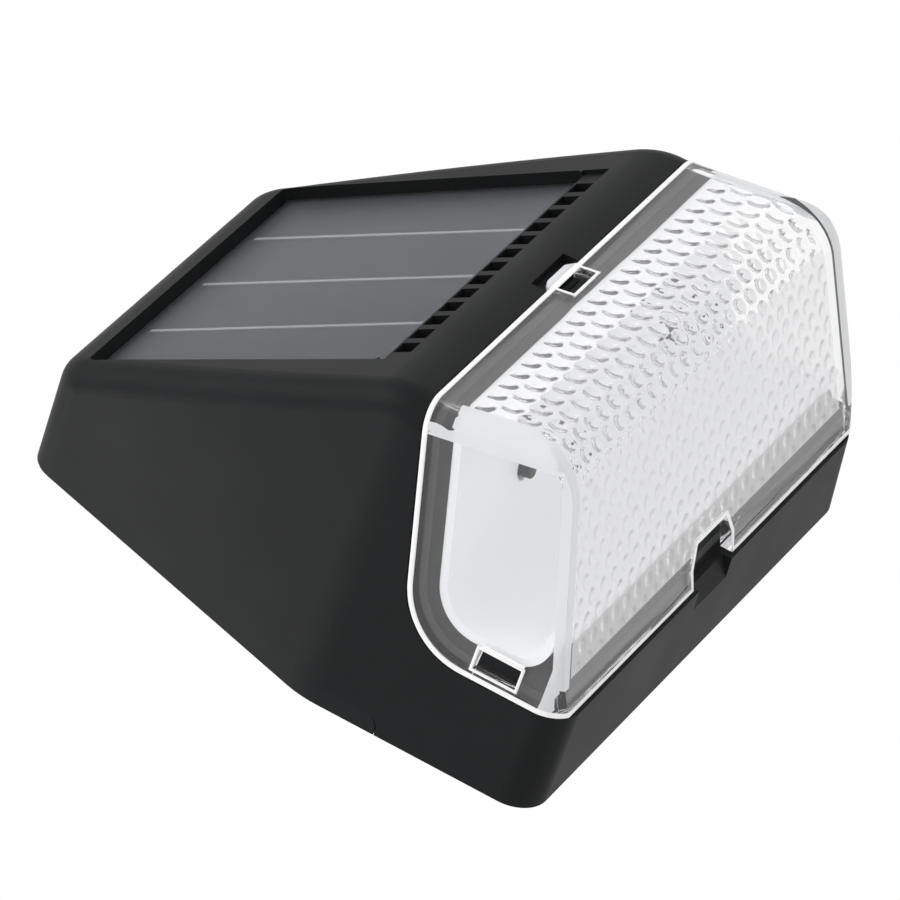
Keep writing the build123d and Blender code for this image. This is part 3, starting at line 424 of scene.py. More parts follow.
class Finishes(Enum):
    """Every finish on the light and the floor, named for its real material and how it was made; the cover's
    pale corners and edges carry painted highlights.
    """

    # Black ABS from a spark-eroded mould: satin, deep grey-black, soft broad highlights.
    HOUSING = MouldedPlastic("abs_black_moulded", "#18191a", 0.46, 1.4, 0.12, wander=0.02)
    # The same with a coarser grain, as on a face that lies against the wall.
    BACK = MouldedPlastic("abs_black_back_moulded", "#191a1b", 0.5, 1.4, 0.12, grain_mm=0.7, depth_mm=0.02,
                          wander=0.03)
    # Black ABS for parts that stay inside: a little greyer and duller.
    INNER = MouldedPlastic("abs_black_inner_moulded", "#202124", 0.55, 1.53, 0.3, wander=0.03)
    # White ABS, polished mould: glossy and very pale, so that it throws the light out.
    REFLECTOR = MouldedPlastic("abs_white_moulded", "#f8f9fa", 0.3, 1.53, 0.5, wander=0.01, depth_mm=0.004)
    # Clear polystyrene, polished mould: glass-clear walls.
    COVER = ClearPolystyrene("polystyrene_clear_moulded", "#ffffff", 0.02, 1.5, 0.35, clearness=0.985)
    # Its rounded corners, edge strips and clip bar are thicker and catch light from all round: a milky pale
    # finish on them paints that as a highlight.
    CORNER_HIGHLIGHT = ClearPolystyrene("polystyrene_corner_painted_highlight", "#e4e5e7", 0.35, 1.5, 0.3, clearness=0.12)
    # Its front with eroded prisms inside: they scatter a little, which lifts their shades towards white.
    PRISMS = ClearPolystyrene("polystyrene_prisms_moulded", "#ffffff", 0.04, 1.5, 0.5, clearness=0.86,
                              wave_mm=1.1, depth_mm=0.01)
    # Finer prisms under the light, spark-eroded matt: they hide what lies behind them.
    LOW_PRISMS = ClearPolystyrene("polystyrene_fine_prisms_moulded", "#f4f4f5", 0.1, 1.5, 0.4, clearness=0.42,
                                  wave_mm=1.1, depth_mm=0.01)
    # The cover's rim and the frames of its clip windows: a matt white bead that paints the highlight of the
    # clear edge, which shines white all round.
    EDGE_HIGHLIGHT = ClearPolystyrene("polystyrene_edge_painted_highlight", "#ffffff", 0.5, 1.5, 0.4, clearness=0.08)
    # Clear epoxy with a satin skin, which mirrors little: its index is set low to match that.
    RESIN = CastEpoxy("epoxy_clear_cast", "#e6e7e9", 0.32, 1.09, 0.5)
    # Amorphous silicon film: cool dark grey, hair-fine lines that lighten it unevenly.
    SILICON = SiliconStrip("silicon_thin_film", "#36383c", 0.5, 1.3, 0.2)
    # Black glass-fibre epoxy, pressed: the even dark border round the cells.
    CARRIER = MouldedPlastic("epoxy_glass_black_pressed", "#3a3c40", 0.5, 1.3, 0.2)
    # Silver ink, printed: half-matt pale grey, so the bus lines read as thin light strokes.
    SILVER = Metal("silver_ink_printed", "#a4a6a9", 0.45, metallic=0.3, streak_mm=0.6)
    # Black silicone, moulded: dull, with hardly a highlight.
    SEAL = Rubber("silicone_black_moulded", "#1c1c1e", 0.55)
    # Grey silicone, moulded: a dull grey that sets the button off from the black back.
    BUTTON = Rubber("silicone_grey_moulded", "#3a3b3f", 0.6)
    # Zinc-plated steel, cold-headed: cool grey with short bright glints.
    SCREW = Metal("steel_zinc_plated", "#a9abad", 0.32, metallic=1.0)
    # Nickel-plated steel, drawn or bent: warmer and brighter than zinc.
    NICKEL = Metal("steel_nickel_plated", "#c2bfb8", 0.28, metallic=1.0)
    # PVC sleeve, shrunk onto the cell: glossy mid green.
    SLEEVE = MouldedPlastic("pvc_green_shrunk", "#1f6f45", 0.25, depth_mm=0.004)
    # Closed-cell foam, cut: black, matt and pitted.
    TAPE = Foam("polyethylene_foam_cut", "#202022", 0.85)
    # White lacquer over copper tracks: the tracks show as low relief alone.
    BOARD_WHITE = SolderMask("board_white_masked", "#e6e8e8", 0.35, second="#f6f6f4")
    # Green lacquer over copper tracks: glossy, with lighter tracks.
    BOARD_GREEN = SolderMask("board_green_masked", "#176239", 0.3)
    # White polyphthalamide, moulded: warm white, satin.
    LED_CASE = MouldedPlastic("polyphthalamide_white_moulded", "#f2f2ee", 0.35, wander=0.02)
    # Phosphor in cast silicone: strong yellow with a soft gloss.
    PHOSPHOR = Rubber("silicone_phosphor_cast", "#e6c33c", 0.3)
    # Black nylon holder: it frames each LED, so that the LED shows as a dark spot.
    COLLAR = MouldedPlastic("nylon_black_moulded", "#111112", 0.4, 1.5, 0.2, depth_mm=0.004)
    # Black epoxy, transfer-moulded: dark and half matt.
    CHIP = MouldedPlastic("epoxy_black_transfer_moulded", "#1a1a1b", 0.5)
    # Ferrite, pressed and sintered: dull dark grey with clouds.
    FERRITE = MouldedPlastic("ferrite_pressed", "#3a3a3d", 0.7, wander=0.12)
    # Enamelled copper, wound: bright brown rings.
    COPPER = WoundWire("copper_enamelled_wound", "#b0602c", 0.3, metallic=1.0)
    # Aluminium, drawn: silver grey with fine streaks.
    CAN = Metal("aluminium_drawn", "#b9bbbf", 0.3, metallic=1.0)
    # Soft PVC, extruded over wire: smooth, with a broad sheen.
    LEAD_RED = Rubber("pvc_red_extruded", "#b3201c", 0.4)
    LEAD_BLACK = Rubber("pvc_black_extruded", "#1e1e20", 0.4)
    # White paint on the studio's floor: matt and plain.
    FLOOR = Finish("floor_white_painted", "#ffffff", 0.9, 1.45, 0.1)


NODE_FINISHES = {
    Finishes.HOUSING: ("housing",),
    Finishes.BACK: ("back_cover",),
    Finishes.INNER: ("cell_cradle", "switch_stem"),
    Finishes.REFLECTOR: ("reflector",),
    Finishes.COVER: ("lens_cover",),
    Finishes.RESIN: ("panel_resin",),
    Finishes.SILICON: ("panel_cells",),
    Finishes.CARRIER: ("panel_base",),
    Finishes.SILVER: ("panel_bus_lines",),
    Finishes.SEAL: ("cover_seal", "back_seal"),
    Finishes.BUTTON: ("switch_button",),
    Finishes.SCREW: ("back_screws", "led_screws", "cradle_screws", "board_screws"),
    Finishes.NICKEL: ("cell_can", "cell_cap", "contact_plus", "contact_minus", "contact_spring"),
    Finishes.SLEEVE: ("cell_sleeve",),
    Finishes.TAPE: ("panel_tape",),
    Finishes.BOARD_WHITE: ("led_board",),
    Finishes.BOARD_GREEN: ("main_board",),
    Finishes.LED_CASE: ("led_bodies",),
    Finishes.PHOSPHOR: ("led_faces",),
    Finishes.CHIP: ("driver_chip", "switch_body"),
    Finishes.FERRITE: ("coil_core",),
    Finishes.COPPER: ("coil_winding",),
    Finishes.CAN: ("capacitor",),
    Finishes.LEAD_RED: ("panel_lead_red", "cell_lead_red", "led_lead_red"),
    Finishes.LEAD_BLACK: ("panel_lead_black", "cell_lead_black", "led_lead_black"),
}


@dataclass
class PackedNodes:
    """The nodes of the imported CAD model, which show their own meshes."""

    nodes: dict[str, Object]

    def dress(self) -> None:
        """Gives every node its finish through its object's material slots."""
        for finish, names in NODE_FINISHES.items():
            for name in names:
                for slot in self.nodes[name].material_slots:
                    slot.material = finish.value.build()


# ---- pieces ------------------------------------------------------------------------------------
def finish_piece(name: str, mesh: BMesh, finish: Finishes, body: str,
                 angle: float = 35.0) -> Object:
    """Turns a bmesh into a dressed piece that rides on a body.

    Args:
        name: Name of the piece.
        mesh: Its shape in metres, in the row's frame; it is freed here.
        finish: Its finish.
        body: The CAD body that it rides on.
        angle: Edges sharper than this, in degrees, stay sharp.

    Returns:
        The new object, at the origin.
    """
    data = mesh_data(name, mesh)
    data.materials.append(finish.value.build())
    data.shade_smooth()
    data.set_sharp_from_angle(angle=math.radians(angle))
    piece = add_object(name, data)
    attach(piece, body)
    return piece


@dataclass
class RoofPanel:
    """Resin over the solar cells; mm down the roof's slope from its top edge, and below the roof."""

    slope: float = 59.1
    top_out: float = 16.0
    top_z: float = 90.6
    start: float = 4.8
    end: float = 51.8
    half_start: float = 28.43
    half_end: float = 30.77
    surface_depth: float = 1.6
    under_depth: float = 2.02
    edge: float = 0.25

    def frame(self) -> Matrix:
        """Matrix from the roof plane (x, up the slope, out of the roof; mm) to the row's frame."""
        turn = Matrix.Rotation(math.radians(self.slope), 4, "X")
        return Matrix.Translation(row_point(0, self.top_out, self.top_z)) @ turn @ Matrix.Scale(MM, 4)

    def build(self) -> Object:
        """Casts the resin slab: a tapered plate with a softened upper edge, just clear of the cells.

        Returns:
            The slab, which replaces the CAD node.
        """
        mesh = bmesh.new()
        outline = [(-self.half_start, -self.start), (-self.half_end, -self.end),
                   (self.half_end, -self.end), (self.half_start, -self.start)]
        face = mesh.faces.new([mesh.verts.new((x, y, -self.under_depth)) for x, y in outline])
        raised = bmesh.ops.extrude_face_region(mesh, geom=[face])
        top = [v for v in raised["geom"] if isinstance(v, BMVert)]
        bmesh.ops.translate(mesh, verts=top, vec=(0, 0, self.under_depth - self.surface_depth))
        rim = [e for e in mesh.edges if all(v in top for v in e.verts)]
        bmesh.ops.bevel(mesh, geom=rim, offset=self.edge, segments=3, profile=0.5, affect="EDGES",
                        material=-1)
        bmesh.ops.recalc_face_normals(mesh, faces=mesh.faces)
        mesh.transform(self.frame())
        piece = finish_piece("resin_slab", mesh, Finishes.RESIN, "housing")
        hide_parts("panel_resin")
        return piece


class Region(IntEnum):
    """Regions of the clear cover, numbered as its material slots."""

    PLAIN = 0
    PRISMS = 1
    # milky finish that paints the highlights of corners, edge strips and the clip bar
    PALE = 2
    FINE_PRISMS = 3


# Parts of a face's unit normal that sort the faces of the cover.
TURNING = 0.1  # the face turns towards the axis at all
SKEW = 0.12  # a rounded end starts here
STEEP = 0.2  # a wall of the pry notch has less than this of Z
ACROSS = 0.5  # the relief stops here on the rounded ends
FACING = 0.6  # the face looks along the axis
CREASE = 0.86  # outer part of a rounded end, which shows as a crease over the plinth
LEVEL = 0.9  # the underside
FLAT = 0.98  # the flat side walls

# The bead's section: share of its width and of its height; it starts and ends just under the skin.
BEAD_SECTION = ((0.0, -0.05), (0.0, 0.6), (0.18, 1.0), (0.82, 1.0), (1.0, 0.6), (1.0, -0.05))


@dataclass
class ClearCover:
    """The clear cover with its prism relief: round lenses in staggered rows inside the front and underside, a
    bead along the rim and frames round the clip windows in a matt white that paints the highlight of the
    clear edges, and milky strips that paint highlights along the corners. Sizes in mm."""

    # lenses of the relief
    pitch: float = 3.4
    lens_radius: float = 1.34
    low_lens_radius: float = 1.1  # on the underside
    height: float = 0.5
    fade: float = 0.7  # they rise to their full height over this much inside the border
    run_lean: float = 0.736  # share of the distance out in the run that the rows follow
    low_blend: float = 4.0  # their radius changes over this much behind the nose
    grid: float = 0.3
    # borders of the relief
    side_start: float = 46.0
    side_draft: float = 0.1757  # the sides draw in by this for each mm away from the wall
    front_border: float = 5.4  # below the parting line
    low_border: float = 4.3  # in front of the slab
    front_out: float = 43.0  # the front wall lies past this
    under_z: float = 13.0  # and the underside below this
    corner_out: float = 38.0  # the bend between them lies past this
    corner_z: float = 20.0  # and below this
    # outline of the cover
    slab_out: float = 14.0  # front face of the slab
    bend: float = 12.0  # radius between the parting line's two straight runs
    gap: float = 0.3  # air between that line and the rim
    side_out: float = 50.0  # X of the sides where they would meet the wall
    low_z: float = 0.5  # height of the underside at the slab
    low_rise: float = 0.3117
    middle_out: float = 25.0
    middle_z: float = 18.0
    end_x: float = 30.0  # the rounded ends and the side walls lie past this
    # bead along the rim, and frames of the clip windows
    bead_width: float = 0.75
    bead_height: float = 0.12
    frame_width: float = 0.62
    frame_height: float = 0.15
    notch_half: float = 6.25
    notch_out: float = 20.7
    notch_z: float = 4.5
    side_clip: tuple[float, float] = (17.4, 11.6)  # middle of the side windows: out, height
    side_clip_half: tuple[float, float] = (1.5, 3.3)
    top_clip: tuple[float, float] = (0.0, 32.2)  # middle of the top window: X, height
    top_clip_half: tuple[float, float] = (3.5, 1.5)
    # strips that stand out pale: painted highlights in a milky finish
    plinth: float = 4.5  # the dark plinth shows this far inside the parting line
    edge_strip: float = 2.2  # on the underside, along the sides
    edge_crease: float = 0.9  # the same over the plinth
    side_strip: float = 1.6  # on the sides, along the underside
    back_edge: float = 0.4
    bar_half: float = 4.2  # bar of the top clip
    bar_low: float = 33.68
    bar_high: float = 35.3
    # the top clip's tongue
    tongue_root: float = 33.98
    tongue_half: float = 4.7
    tongue_height: float = 2.32
    tongue_taper: float = 0.45
    tongue_cut: float = 1.1

    def build(self, node: Object) -> list[Object]:
        """Moulds the relief into a merged copy of the cover's own solid.

        Args:
            node: The CAD node of the cover.

        Returns:
            The cover, which replaces the node, its rim bead and its clip frames.
        """
        mesh = bmesh.new()
        mesh.from_mesh(node.data)
        bmesh.ops.remove_doubles(mesh, verts=mesh.verts, dist=1e-6)
        self.slim_tongue(mesh)
        beads = [
            self.bead(mesh, "cover_rim_highlight_bead", self.on_rim, self.bead_width, self.bead_height),
            self.bead(mesh, "cover_clip_highlight_frames", self.on_window, self.frame_width, self.frame_height),
        ]
        self.cut_borders(mesh)
        self.cut_grid(mesh)
        self.mark(mesh)
        self.raise_lenses(mesh)
        piece = finish_piece("clear_cover_prisms", mesh, Finishes.COVER, "lens_cover", 32.0)
        self.dress(piece)
        piece.modifiers.new("even_normals", "WEIGHTED_NORMAL").keep_sharp = True
        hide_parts("lens_cover")
        return [piece, *beads]

    def dress(self, piece: Object) -> None:
        """Adds the finishes of the regions after the plain one, in the order of Region."""
        for finish in (Finishes.PRISMS, Finishes.CORNER_HIGHLIGHT, Finishes.LOW_PRISMS):
            piece.data.materials.append(finish.value.build())

    def slim_tongue(self, mesh: BMesh) -> None:
        """Draws the top clip's tongue in towards its root, to the size that shows from outside.

        Args:
            mesh: The cover.
        """
        for v in mesh.verts:
            x, _, z = place_of(v.co)
            above = z - self.tongue_root
            if above > TOUCH and abs(x) < self.tongue_half + TOUCH:
                share = above / self.tongue_height
                v.co.x *= 1 - share * self.tongue_taper
                v.co.z -= share * self.tongue_cut * MM

    # ---- where a point or a face lies
    def swell(self, x: float, out: float, z: float) -> float:
        """Height of the relief at a point.

        Args:
            x: Distance from the middle.
            out: Distance from the wall.
            z: Height above the slab's underside.

        Returns:
            Height above the wall's inner face.
        """
        run = -z - self.run_lean * out  # grows by 1 for each mm down the front and on along the underside
        low = min(1.0, max(0.0, (NOSE_OUT - out) / self.low_blend))
        radius = self.lens_radius + (self.low_lens_radius - self.lens_radius) * low
        row_gap = self.pitch * math.sqrt(3) / 2
        nearest = round(run / row_gap)
        best = math.inf
        for row in (nearest - 1, nearest, nearest + 1):
            shift = self.pitch / 2 if row % 2 else 0.0
            dx = (x - shift) - round((x - shift) / self.pitch) * self.pitch
            best = min(best, math.hypot(dx, run - row * row_gap))
        if best >= radius:
            return 0.0
        ball = (radius**2 + self.height**2) / (2 * self.height)
        fade = min(1.0, max(0.0, self.margin(x, out, z) / self.fade))
        return fade * (math.sqrt(ball**2 - best**2) - (ball - self.height))

    def margin(self, x: float, out: float, z: float) -> float:
        """How far a point lies inside the relief's border; negative outside.

        Args:
            x: Distance from the middle.
            out: Distance from the wall.
            z: Height above the slab's underside.

        Returns:
            Distance in mm to the nearest of the borders at the sides, the front and the back.
        """
        side = self.side_start - self.side_draft * out - abs(x)
        front = front_z(out) - self.front_border - z
        return min(side, front, out - self.slab_out - self.low_border)

    def rim_distance(self, out: float, z: float) -> float:
        """How far a point of the side view lies inside the chamber, measured from the parting line.

        Args:
            out: Distance from the wall.
            z: Height above the slab's underside.

        Returns:
            Distance in mm from the line along the roof, along the slab or round its bend.
        """
        tilt = math.hypot(1, RIM_RISE)
        over = self.bend - (front_z(out) - z) / tilt
        back = self.bend - (out - self.slab_out)
        lean = RIM_RISE / tilt
        if over > back * lean and back > over * lean:
            return self.bend - math.sqrt((over**2 + back**2 - 2 * over * back * lean) / (1 - lean**2))
        return self.bend - max(over, back)

    def outer(self, face: BMFace) -> bool:
        """True for faces that look away from the chamber's middle."""
        x, out, z = place_of(face.calc_center_median())
        return Vector((x, self.middle_out - out, z - self.middle_z)).dot(face.normal) > 0

    def on_rim(self, face: BMFace) -> bool:
        """True for the faces of the rim's edge and of the pry notch.

        Args:
            face: A face of the cover.

        Returns:
            Whether it is one of them.
        """
        places = [place_of(v.co) for v in face.verts]
        on_line = all(abs(self.rim_distance(out, z) - self.gap) < TOUCH for _, out, z in places)
        in_notch = all(
            abs(x) < self.notch_half and out < self.notch_out and z < self.notch_z for x, out, z in places
        )
        return on_line or (in_notch and abs(face.normal.z) < STEEP)

    def on_window(self, face: BMFace) -> bool:
        """True for the walls of the three clip windows.

        Args:
            face: A face of the cover.

        Returns:
            Whether it is one of them.
        """
        places = [place_of(v.co) for v in face.verts]
        (out_0, z_0), (out_half, z_half) = self.side_clip, self.side_clip_half
        side = all(
            abs(out - out_0) < out_half + TOUCH and abs(z - z_0) < z_half + TOUCH and abs(x) > self.end_x
            for x, out, z in places
        )
        (x_0, z_0), (x_half, z_half) = self.top_clip, self.top_clip_half
        top = all(
            abs(x - x_0) < x_half + TOUCH and abs(z - z_0) < z_half + TOUCH and out > self.front_out
            for x, out, z in places
        )
        return (side and abs(face.normal.x) < ACROSS) or (top and abs(face.normal.y) < ACROSS)

    def inner(self, face: BMFace) -> bool:
        """True for faces inside the front wall, the underside or the bend between them.

        Args:
            face: A face of the cover.

        Returns:
            Whether the relief covers it.
        """
        x, out, z = place_of(face.calc_center_median())
        n = face.normal
        if self.margin(x, out, z) < 0:
            return False
        front = n.y > FACING and out > self.front_out
        under = n.z > FACING and z < self.under_z
        corner = n.y > TURNING and n.z > TURNING and out > self.corner_out and z < self.corner_z
        return (front or under or corner) and abs(n.x) < ACROSS

    def rounded(self, face: BMFace) -> bool:
        """True for faces in the rounded edges between the sides and the front or underside."""
        x = place_of(face.calc_center_median())[0]
        return abs(x) > self.end_x and SKEW < abs(face.normal.x) < FLAT and not self.on_rim(face)

    def pale(self, face: BMFace) -> bool:
        """True where the cover takes the milky pale finish that paints its highlights: along the chamber's
        edges, in a crease over the plinth and in the bar of the top clip.

        Args:
            face: A face of the cover.

        Returns:
            Whether it takes the pale finish.
        """
        x, out, z = place_of(face.calc_center_median())
        n = face.normal
        if self.on_rim(face) or out < self.slab_out + self.back_edge:
            return False
        if abs(x) < self.bar_half:
            return self.bar_low < z < self.bar_high
        inside = self.rim_distance(out, z) > self.plinth
        outside = self.outer(face)
        if self.rounded(face):
            return inside or (outside and abs(n.x) > CREASE)
        if outside and abs(n.x) < SKEW and n.z < -TURNING:
            side_gap = self.side_out - self.side_draft * out - abs(x)
            return side_gap < (self.edge_strip if inside else self.edge_crease)
        low_gap = z - self.low_z - self.low_rise * (out - self.slab_out)
        return inside and outside and abs(n.x) >= FLAT and low_gap < self.side_strip

    def low_edge(self, face: BMFace) -> bool:
        """True for outer faces that may reach the long edges below: the underside and the flat sides."""
        facing = face.normal.z < -TURNING or abs(face.normal.x) > FLAT
        return self.outer(face) and facing and not self.on_rim(face)

    # ---- bead and frames
    def bead(self, mesh: BMesh, name: str, chosen: Callable[[BMFace], bool], width: float,
             height: float) -> Object:
        """Extrudes the outer edges of the chosen walls into a flat bead that lies on the cover's outer face.

        Args:
            mesh: The cover, merged; it is left as it was.
            name: Name of the bead.
            chosen: True for the walls along whose outer edges the bead runs.
            width: Its width.
            height: Its height.

        Returns:
            The bead, a piece of its own.
        """
        work = mesh.copy()
        work.normal_update()
        tag = work.verts.layers.int.new("start")
        for i, v in enumerate(work.verts):
            v[tag] = i
        rim = {f for f in work.faces if chosen(f)}
        outward, inward, keep = {}, {}, set()
        for edge in work.edges:
            walls = [f for f in edge.link_faces if f in rim]
            skins = [f for f in edge.link_faces if f not in rim]
            if len(walls) != 1 or len(skins) != 1 or not self.outer(skins[0]):
                continue
            keep.add(edge)
            skin, away = skins[0].normal.copy(), walls[0].normal.copy()
            for v in edge.verts:
                outward[v[tag]] = outward.get(v[tag], Vector()) + skin
                inward[v[tag]] = inward.get(v[tag], Vector()) - (away - skin * away.dot(skin))
        bmesh.ops.delete(work, geom=list(work.faces), context="FACES_ONLY")
        bmesh.ops.delete(work, geom=[e for e in work.edges if e not in keep], context="EDGES")
        bmesh.ops.delete(work, geom=[v for v in work.verts if not v.link_edges], context="VERTS")
        self.sweep_bead(work, outward, inward, tag, width, height)
        # The bead's matt white is a painted highlight of the cover's lit edge.
        return finish_piece(name, work, Finishes.EDGE_HIGHLIGHT, "lens_cover", 50.0)

    def sweep_bead(self, work: BMesh, outward: dict[int, Vector], inward: dict[int, Vector],
                   tag: bmesh.types.BMLayerItem, width: float, height: float) -> None:
        """Carries the loop's edges round the bead's section by repeated extrusion.

        Args:
            work: Mesh that holds the loop's edges alone.
            outward: Vertex index to the summed outer normals.
            inward: Vertex index to the summed directions away from the rim.
            tag: Layer that holds each vertex's index.
            width: Width of the bead.
            height: Its height.
        """
        start = {v[tag]: v.co.copy() for v in work.verts}
        front = list(work.edges)
        for i, (share, rise) in enumerate(BEAD_SECTION):
            if i:
                raised = bmesh.ops.extrude_edge_only(work, edges=front)["geom"]
                front = [g for g in raised if isinstance(g, BMEdge)]
            for v in {v for e in front for v in e.verts}:
                skin = outward[v[tag]].normalized()
                along = inward[v[tag]].normalized()
                step = along * width * share + skin * height * rise
                v.co = start[v[tag]] + step * MM
        bmesh.ops.recalc_face_normals(work, faces=work.faces)

    # ---- relief
    def cut_borders(self, mesh: BMesh) -> None:
        """Cuts the faces along the borders of the relief and of the pale strips.

        Args:
            mesh: The cover.
        """
        mesh.normal_update()
        draft, tilt, rise = (math.hypot(1, slope) for slope in (self.side_draft, RIM_RISE, self.low_rise))
        sides = [Vector((sign, -self.side_draft, 0)).normalized() for sign in (1, -1)]
        roof, wall = Vector((0, RIM_RISE, 1)).normalized(), Vector((0, -1, 0))
        top = front_z(0) - HANG_Z
        for axis, at in (
            *((side, self.side_start / draft) for side in sides),
            (roof, (top - self.front_border) / tilt),
            (wall, self.slab_out + self.low_border),
        ):
            self.cut(mesh, [f for f in mesh.faces if f.normal.y > TURNING or f.normal.z > FACING], axis, at)
        for axis, at in ((roof, (top - self.plinth) / tilt), (wall, self.slab_out + self.plinth)):
            self.cut(mesh, [f for f in mesh.faces if self.rounded(f) or self.low_edge(f)], axis, at)
        for gap in (self.edge_strip, self.edge_crease):
            at = (self.side_out - gap) / draft
            for side in sides:
                self.cut(mesh, [f for f in mesh.faces if self.low_edge(f)], side, at)
        strip_z = self.low_z + self.side_strip - self.low_rise * self.slab_out - HANG_Z
        flats = [f for f in mesh.faces if abs(f.normal.x) > FLAT and self.low_edge(f)]
        self.cut(mesh, flats, Vector((0, self.low_rise, 1)).normalized(), strip_z / rise)

    def cut_grid(self, mesh: BMesh) -> None:
        """Cuts the inner faces into a fine grid, across and along the run of the wall.

        Args:
            mesh: The cover.
        """
        for axis in (Vector((1, 0, 0)), Vector((0, -1, 1)).normalized()):
            chosen = [f for f in mesh.faces if self.inner(f)]
            reach = [v.co.dot(axis) / MM for f in chosen for v in f.verts]
            self.halve(mesh, chosen, axis, min(reach), max(reach))

    def cut(self, mesh: BMesh, faces: list[BMFace], axis: Vector, at: float) -> list[BMFace]:
        """Cuts faces at a plane.

        Args:
            mesh: The mesh.
            faces: Its faces that may be cut.
            axis: The plane's normal.
            at: The plane's place along the axis.

        Returns:
            All faces that come out of the cut.
        """
        geom = dict.fromkeys(faces)
        for f in faces:
            geom.update(dict.fromkeys((*f.verts, *f.edges)))
        spot = axis * at * MM
        done = bmesh.ops.bisect_plane(mesh, geom=list(geom), plane_co=spot, plane_no=axis, dist=1e-7)
        return [g for g in done["geom"] if isinstance(g, BMFace)]

    def halve(self, mesh: BMesh, faces: list[BMFace], axis: Vector, low: float, high: float) -> None:
        """Halves a band of faces again and again until its strips are as narrow as the grid.

        Args:
            mesh: The mesh.
            faces: The band's faces.
            axis: Direction across the strips.
            low: Where the band starts along the axis.
            high: Where it ends.
        """
        if high - low <= self.grid or not faces:
            return
        middle = (low + high) / 2
        faces = self.cut(mesh, faces, axis, middle)
        below = [f for f in faces if f.calc_center_median().dot(axis) / MM < middle]
        above = [f for f in faces if f.calc_center_median().dot(axis) / MM >= middle]
        self.halve(mesh, below, axis, low, middle)
        self.halve(mesh, above, axis, middle, high)

    def mark(self, mesh: BMesh) -> None:
        """Gives each face the material slot of its region.

        Args:
            mesh: The cover, cut along its borders and into its grid.
        """
        for face in mesh.faces:
            if self.inner(face):
                face.material_index = Region.FINE_PRISMS if face.normal.z > LEVEL else Region.PRISMS
            # Faces that get the milky finish of painted highlight.
            elif self.pale(face):
                face.material_index = Region.PALE

    def raise_lenses(self, mesh: BMesh) -> None:
        """Moves the grid's points along their normals by the relief's height.

        Args:
            mesh: The cover, cut into its grid and marked.
        """
        mesh.normal_update()
        relief = (Region.PRISMS, Region.FINE_PRISMS)
        chosen = {}
        for face in mesh.faces:
            if face.material_index in relief:
                for v in face.verts:
                    if all(f.material_index in relief for f in v.link_faces):
                        chosen[v] = v.normal.copy()
        for v, normal in chosen.items():
            v.co += normal * self.swell(*place_of(v.co)) * MM
        mesh.normal_update()


@dataclass
class LedDomes:
    """A black collar and a clear dome over each LED, in the flared holes of the chamber's ceiling. Sizes in
    mm; depths are counted down from the parting line."""

    spread: float = 42.0
    out: float = 29.5
    low: float = 3.2
    high: float = 6.9
    outer: float = 1.3
    bore: float = 0.8
    dome: float = 0.76
    dome_sink: float = 0.5  # the dome's ball is centred this far inside the collar
    bore_chamfer: float = 0.1
    rim_chamfer: float = 0.15
    arc_steps: int = 6
    steps: int = 24

    def frame(self, x: float) -> Matrix:
        """Matrix from a LED's own axes to the row's frame.

        Args:
            x: Where the LED sits.

        Returns:
            Matrix that takes mm, with Z pointing down into the chamber.
        """
        tilt = math.atan(RIM_RISE)
        down = Vector((0, -math.sin(tilt), -math.cos(tilt)))
        across = Vector((1, 0, 0))
        turn = Matrix((across, down.cross(across), down)).transposed().to_4x4()
        return Matrix.Translation(row_point(x, self.out, front_z(self.out))) @ turn @ Matrix.Scale(MM, 4)

    def turned(self, profile: list[tuple[float, float]], closed: bool) -> BMesh:
        """Turns a profile round both LED axes.

        Args:
            profile: Points as radius and depth.
            closed: True where the profile is a loop.

        Returns:
            One mesh that holds both turned parts, in metres in the row's frame.
        """
        whole = bmesh.new()
        for x in (-self.spread / 2, self.spread / 2):
            part = bmesh.new()
            spots = [part.verts.new((radius, 0, depth)) for radius, depth in profile]
            pairs = list(zip(spots, spots[1:])) + ([(spots[-1], spots[0])] if closed else [])
            edges = [part.edges.new(pair) for pair in pairs]
            bmesh.ops.spin(part, geom=spots + edges, cent=(0, 0, 0), axis=(0, 0, 1), angle=math.tau,
                           steps=self.steps, use_merge=True)
            bmesh.ops.remove_doubles(part, verts=part.verts, dist=1e-4)
            bmesh.ops.recalc_face_normals(part, faces=part.faces)
            part.transform(self.frame(x))
            data = mesh_data("turned", part)
            whole.from_mesh(data)
            bpy.data.meshes.remove(data)
        return whole

    def build(self) -> list[Object]:
        """Makes the collars and the domes.

        Returns:
            The two pieces, each on both LEDs.
        """
        collar = [
            (self.bore, self.low), (self.bore, self.high - self.bore_chamfer),
            (self.bore + self.bore_chamfer, self.high), (self.outer - self.rim_chamfer, self.high),
            (self.outer, self.high - self.rim_chamfer), (self.outer, self.low),
        ]
        angles = [math.radians(90 * i / self.arc_steps) for i in range(self.arc_steps + 1)]
        centre = self.high - self.dome_sink
        rise = [(self.dome * math.cos(a), centre + self.dome * math.sin(a)) for a in angles]
        dome = [(0.0, self.low), (self.dome, self.low), *rise[:-1], (0.0, rise[-1][1])]
        collars, domes = self.turned(collar, True), self.turned(dome, False)
        return [
            finish_piece("led_collars", collars, Finishes.COLLAR, "housing", 40.0),
            finish_piece("led_domes", domes, Finishes.COVER, "housing", 60.0),
        ]


# ---- studio ------------------------------------------------------------------------------------
@dataclass(frozen=True)
class Lamp:
    """A soft square lamp: where it hangs and its edge length, in metres, and its power in watts."""

    name: str
    place: Triple
    size: float
    power: float

    def hang(self) -> None:
        """Hangs the lamp so that it faces the light."""
        data = bpy.data.lights.new(self.name, "AREA")
        data.shape, data.size, data.energy = "SQUARE", self.size, self.power
        lamp = add_object(self.name, data)
        lamp.location = self.place
        lamp.rotation_mode = "QUATERNION"
        lamp.rotation_quaternion = Vector(self.place).to_track_quat("Z", "Y")


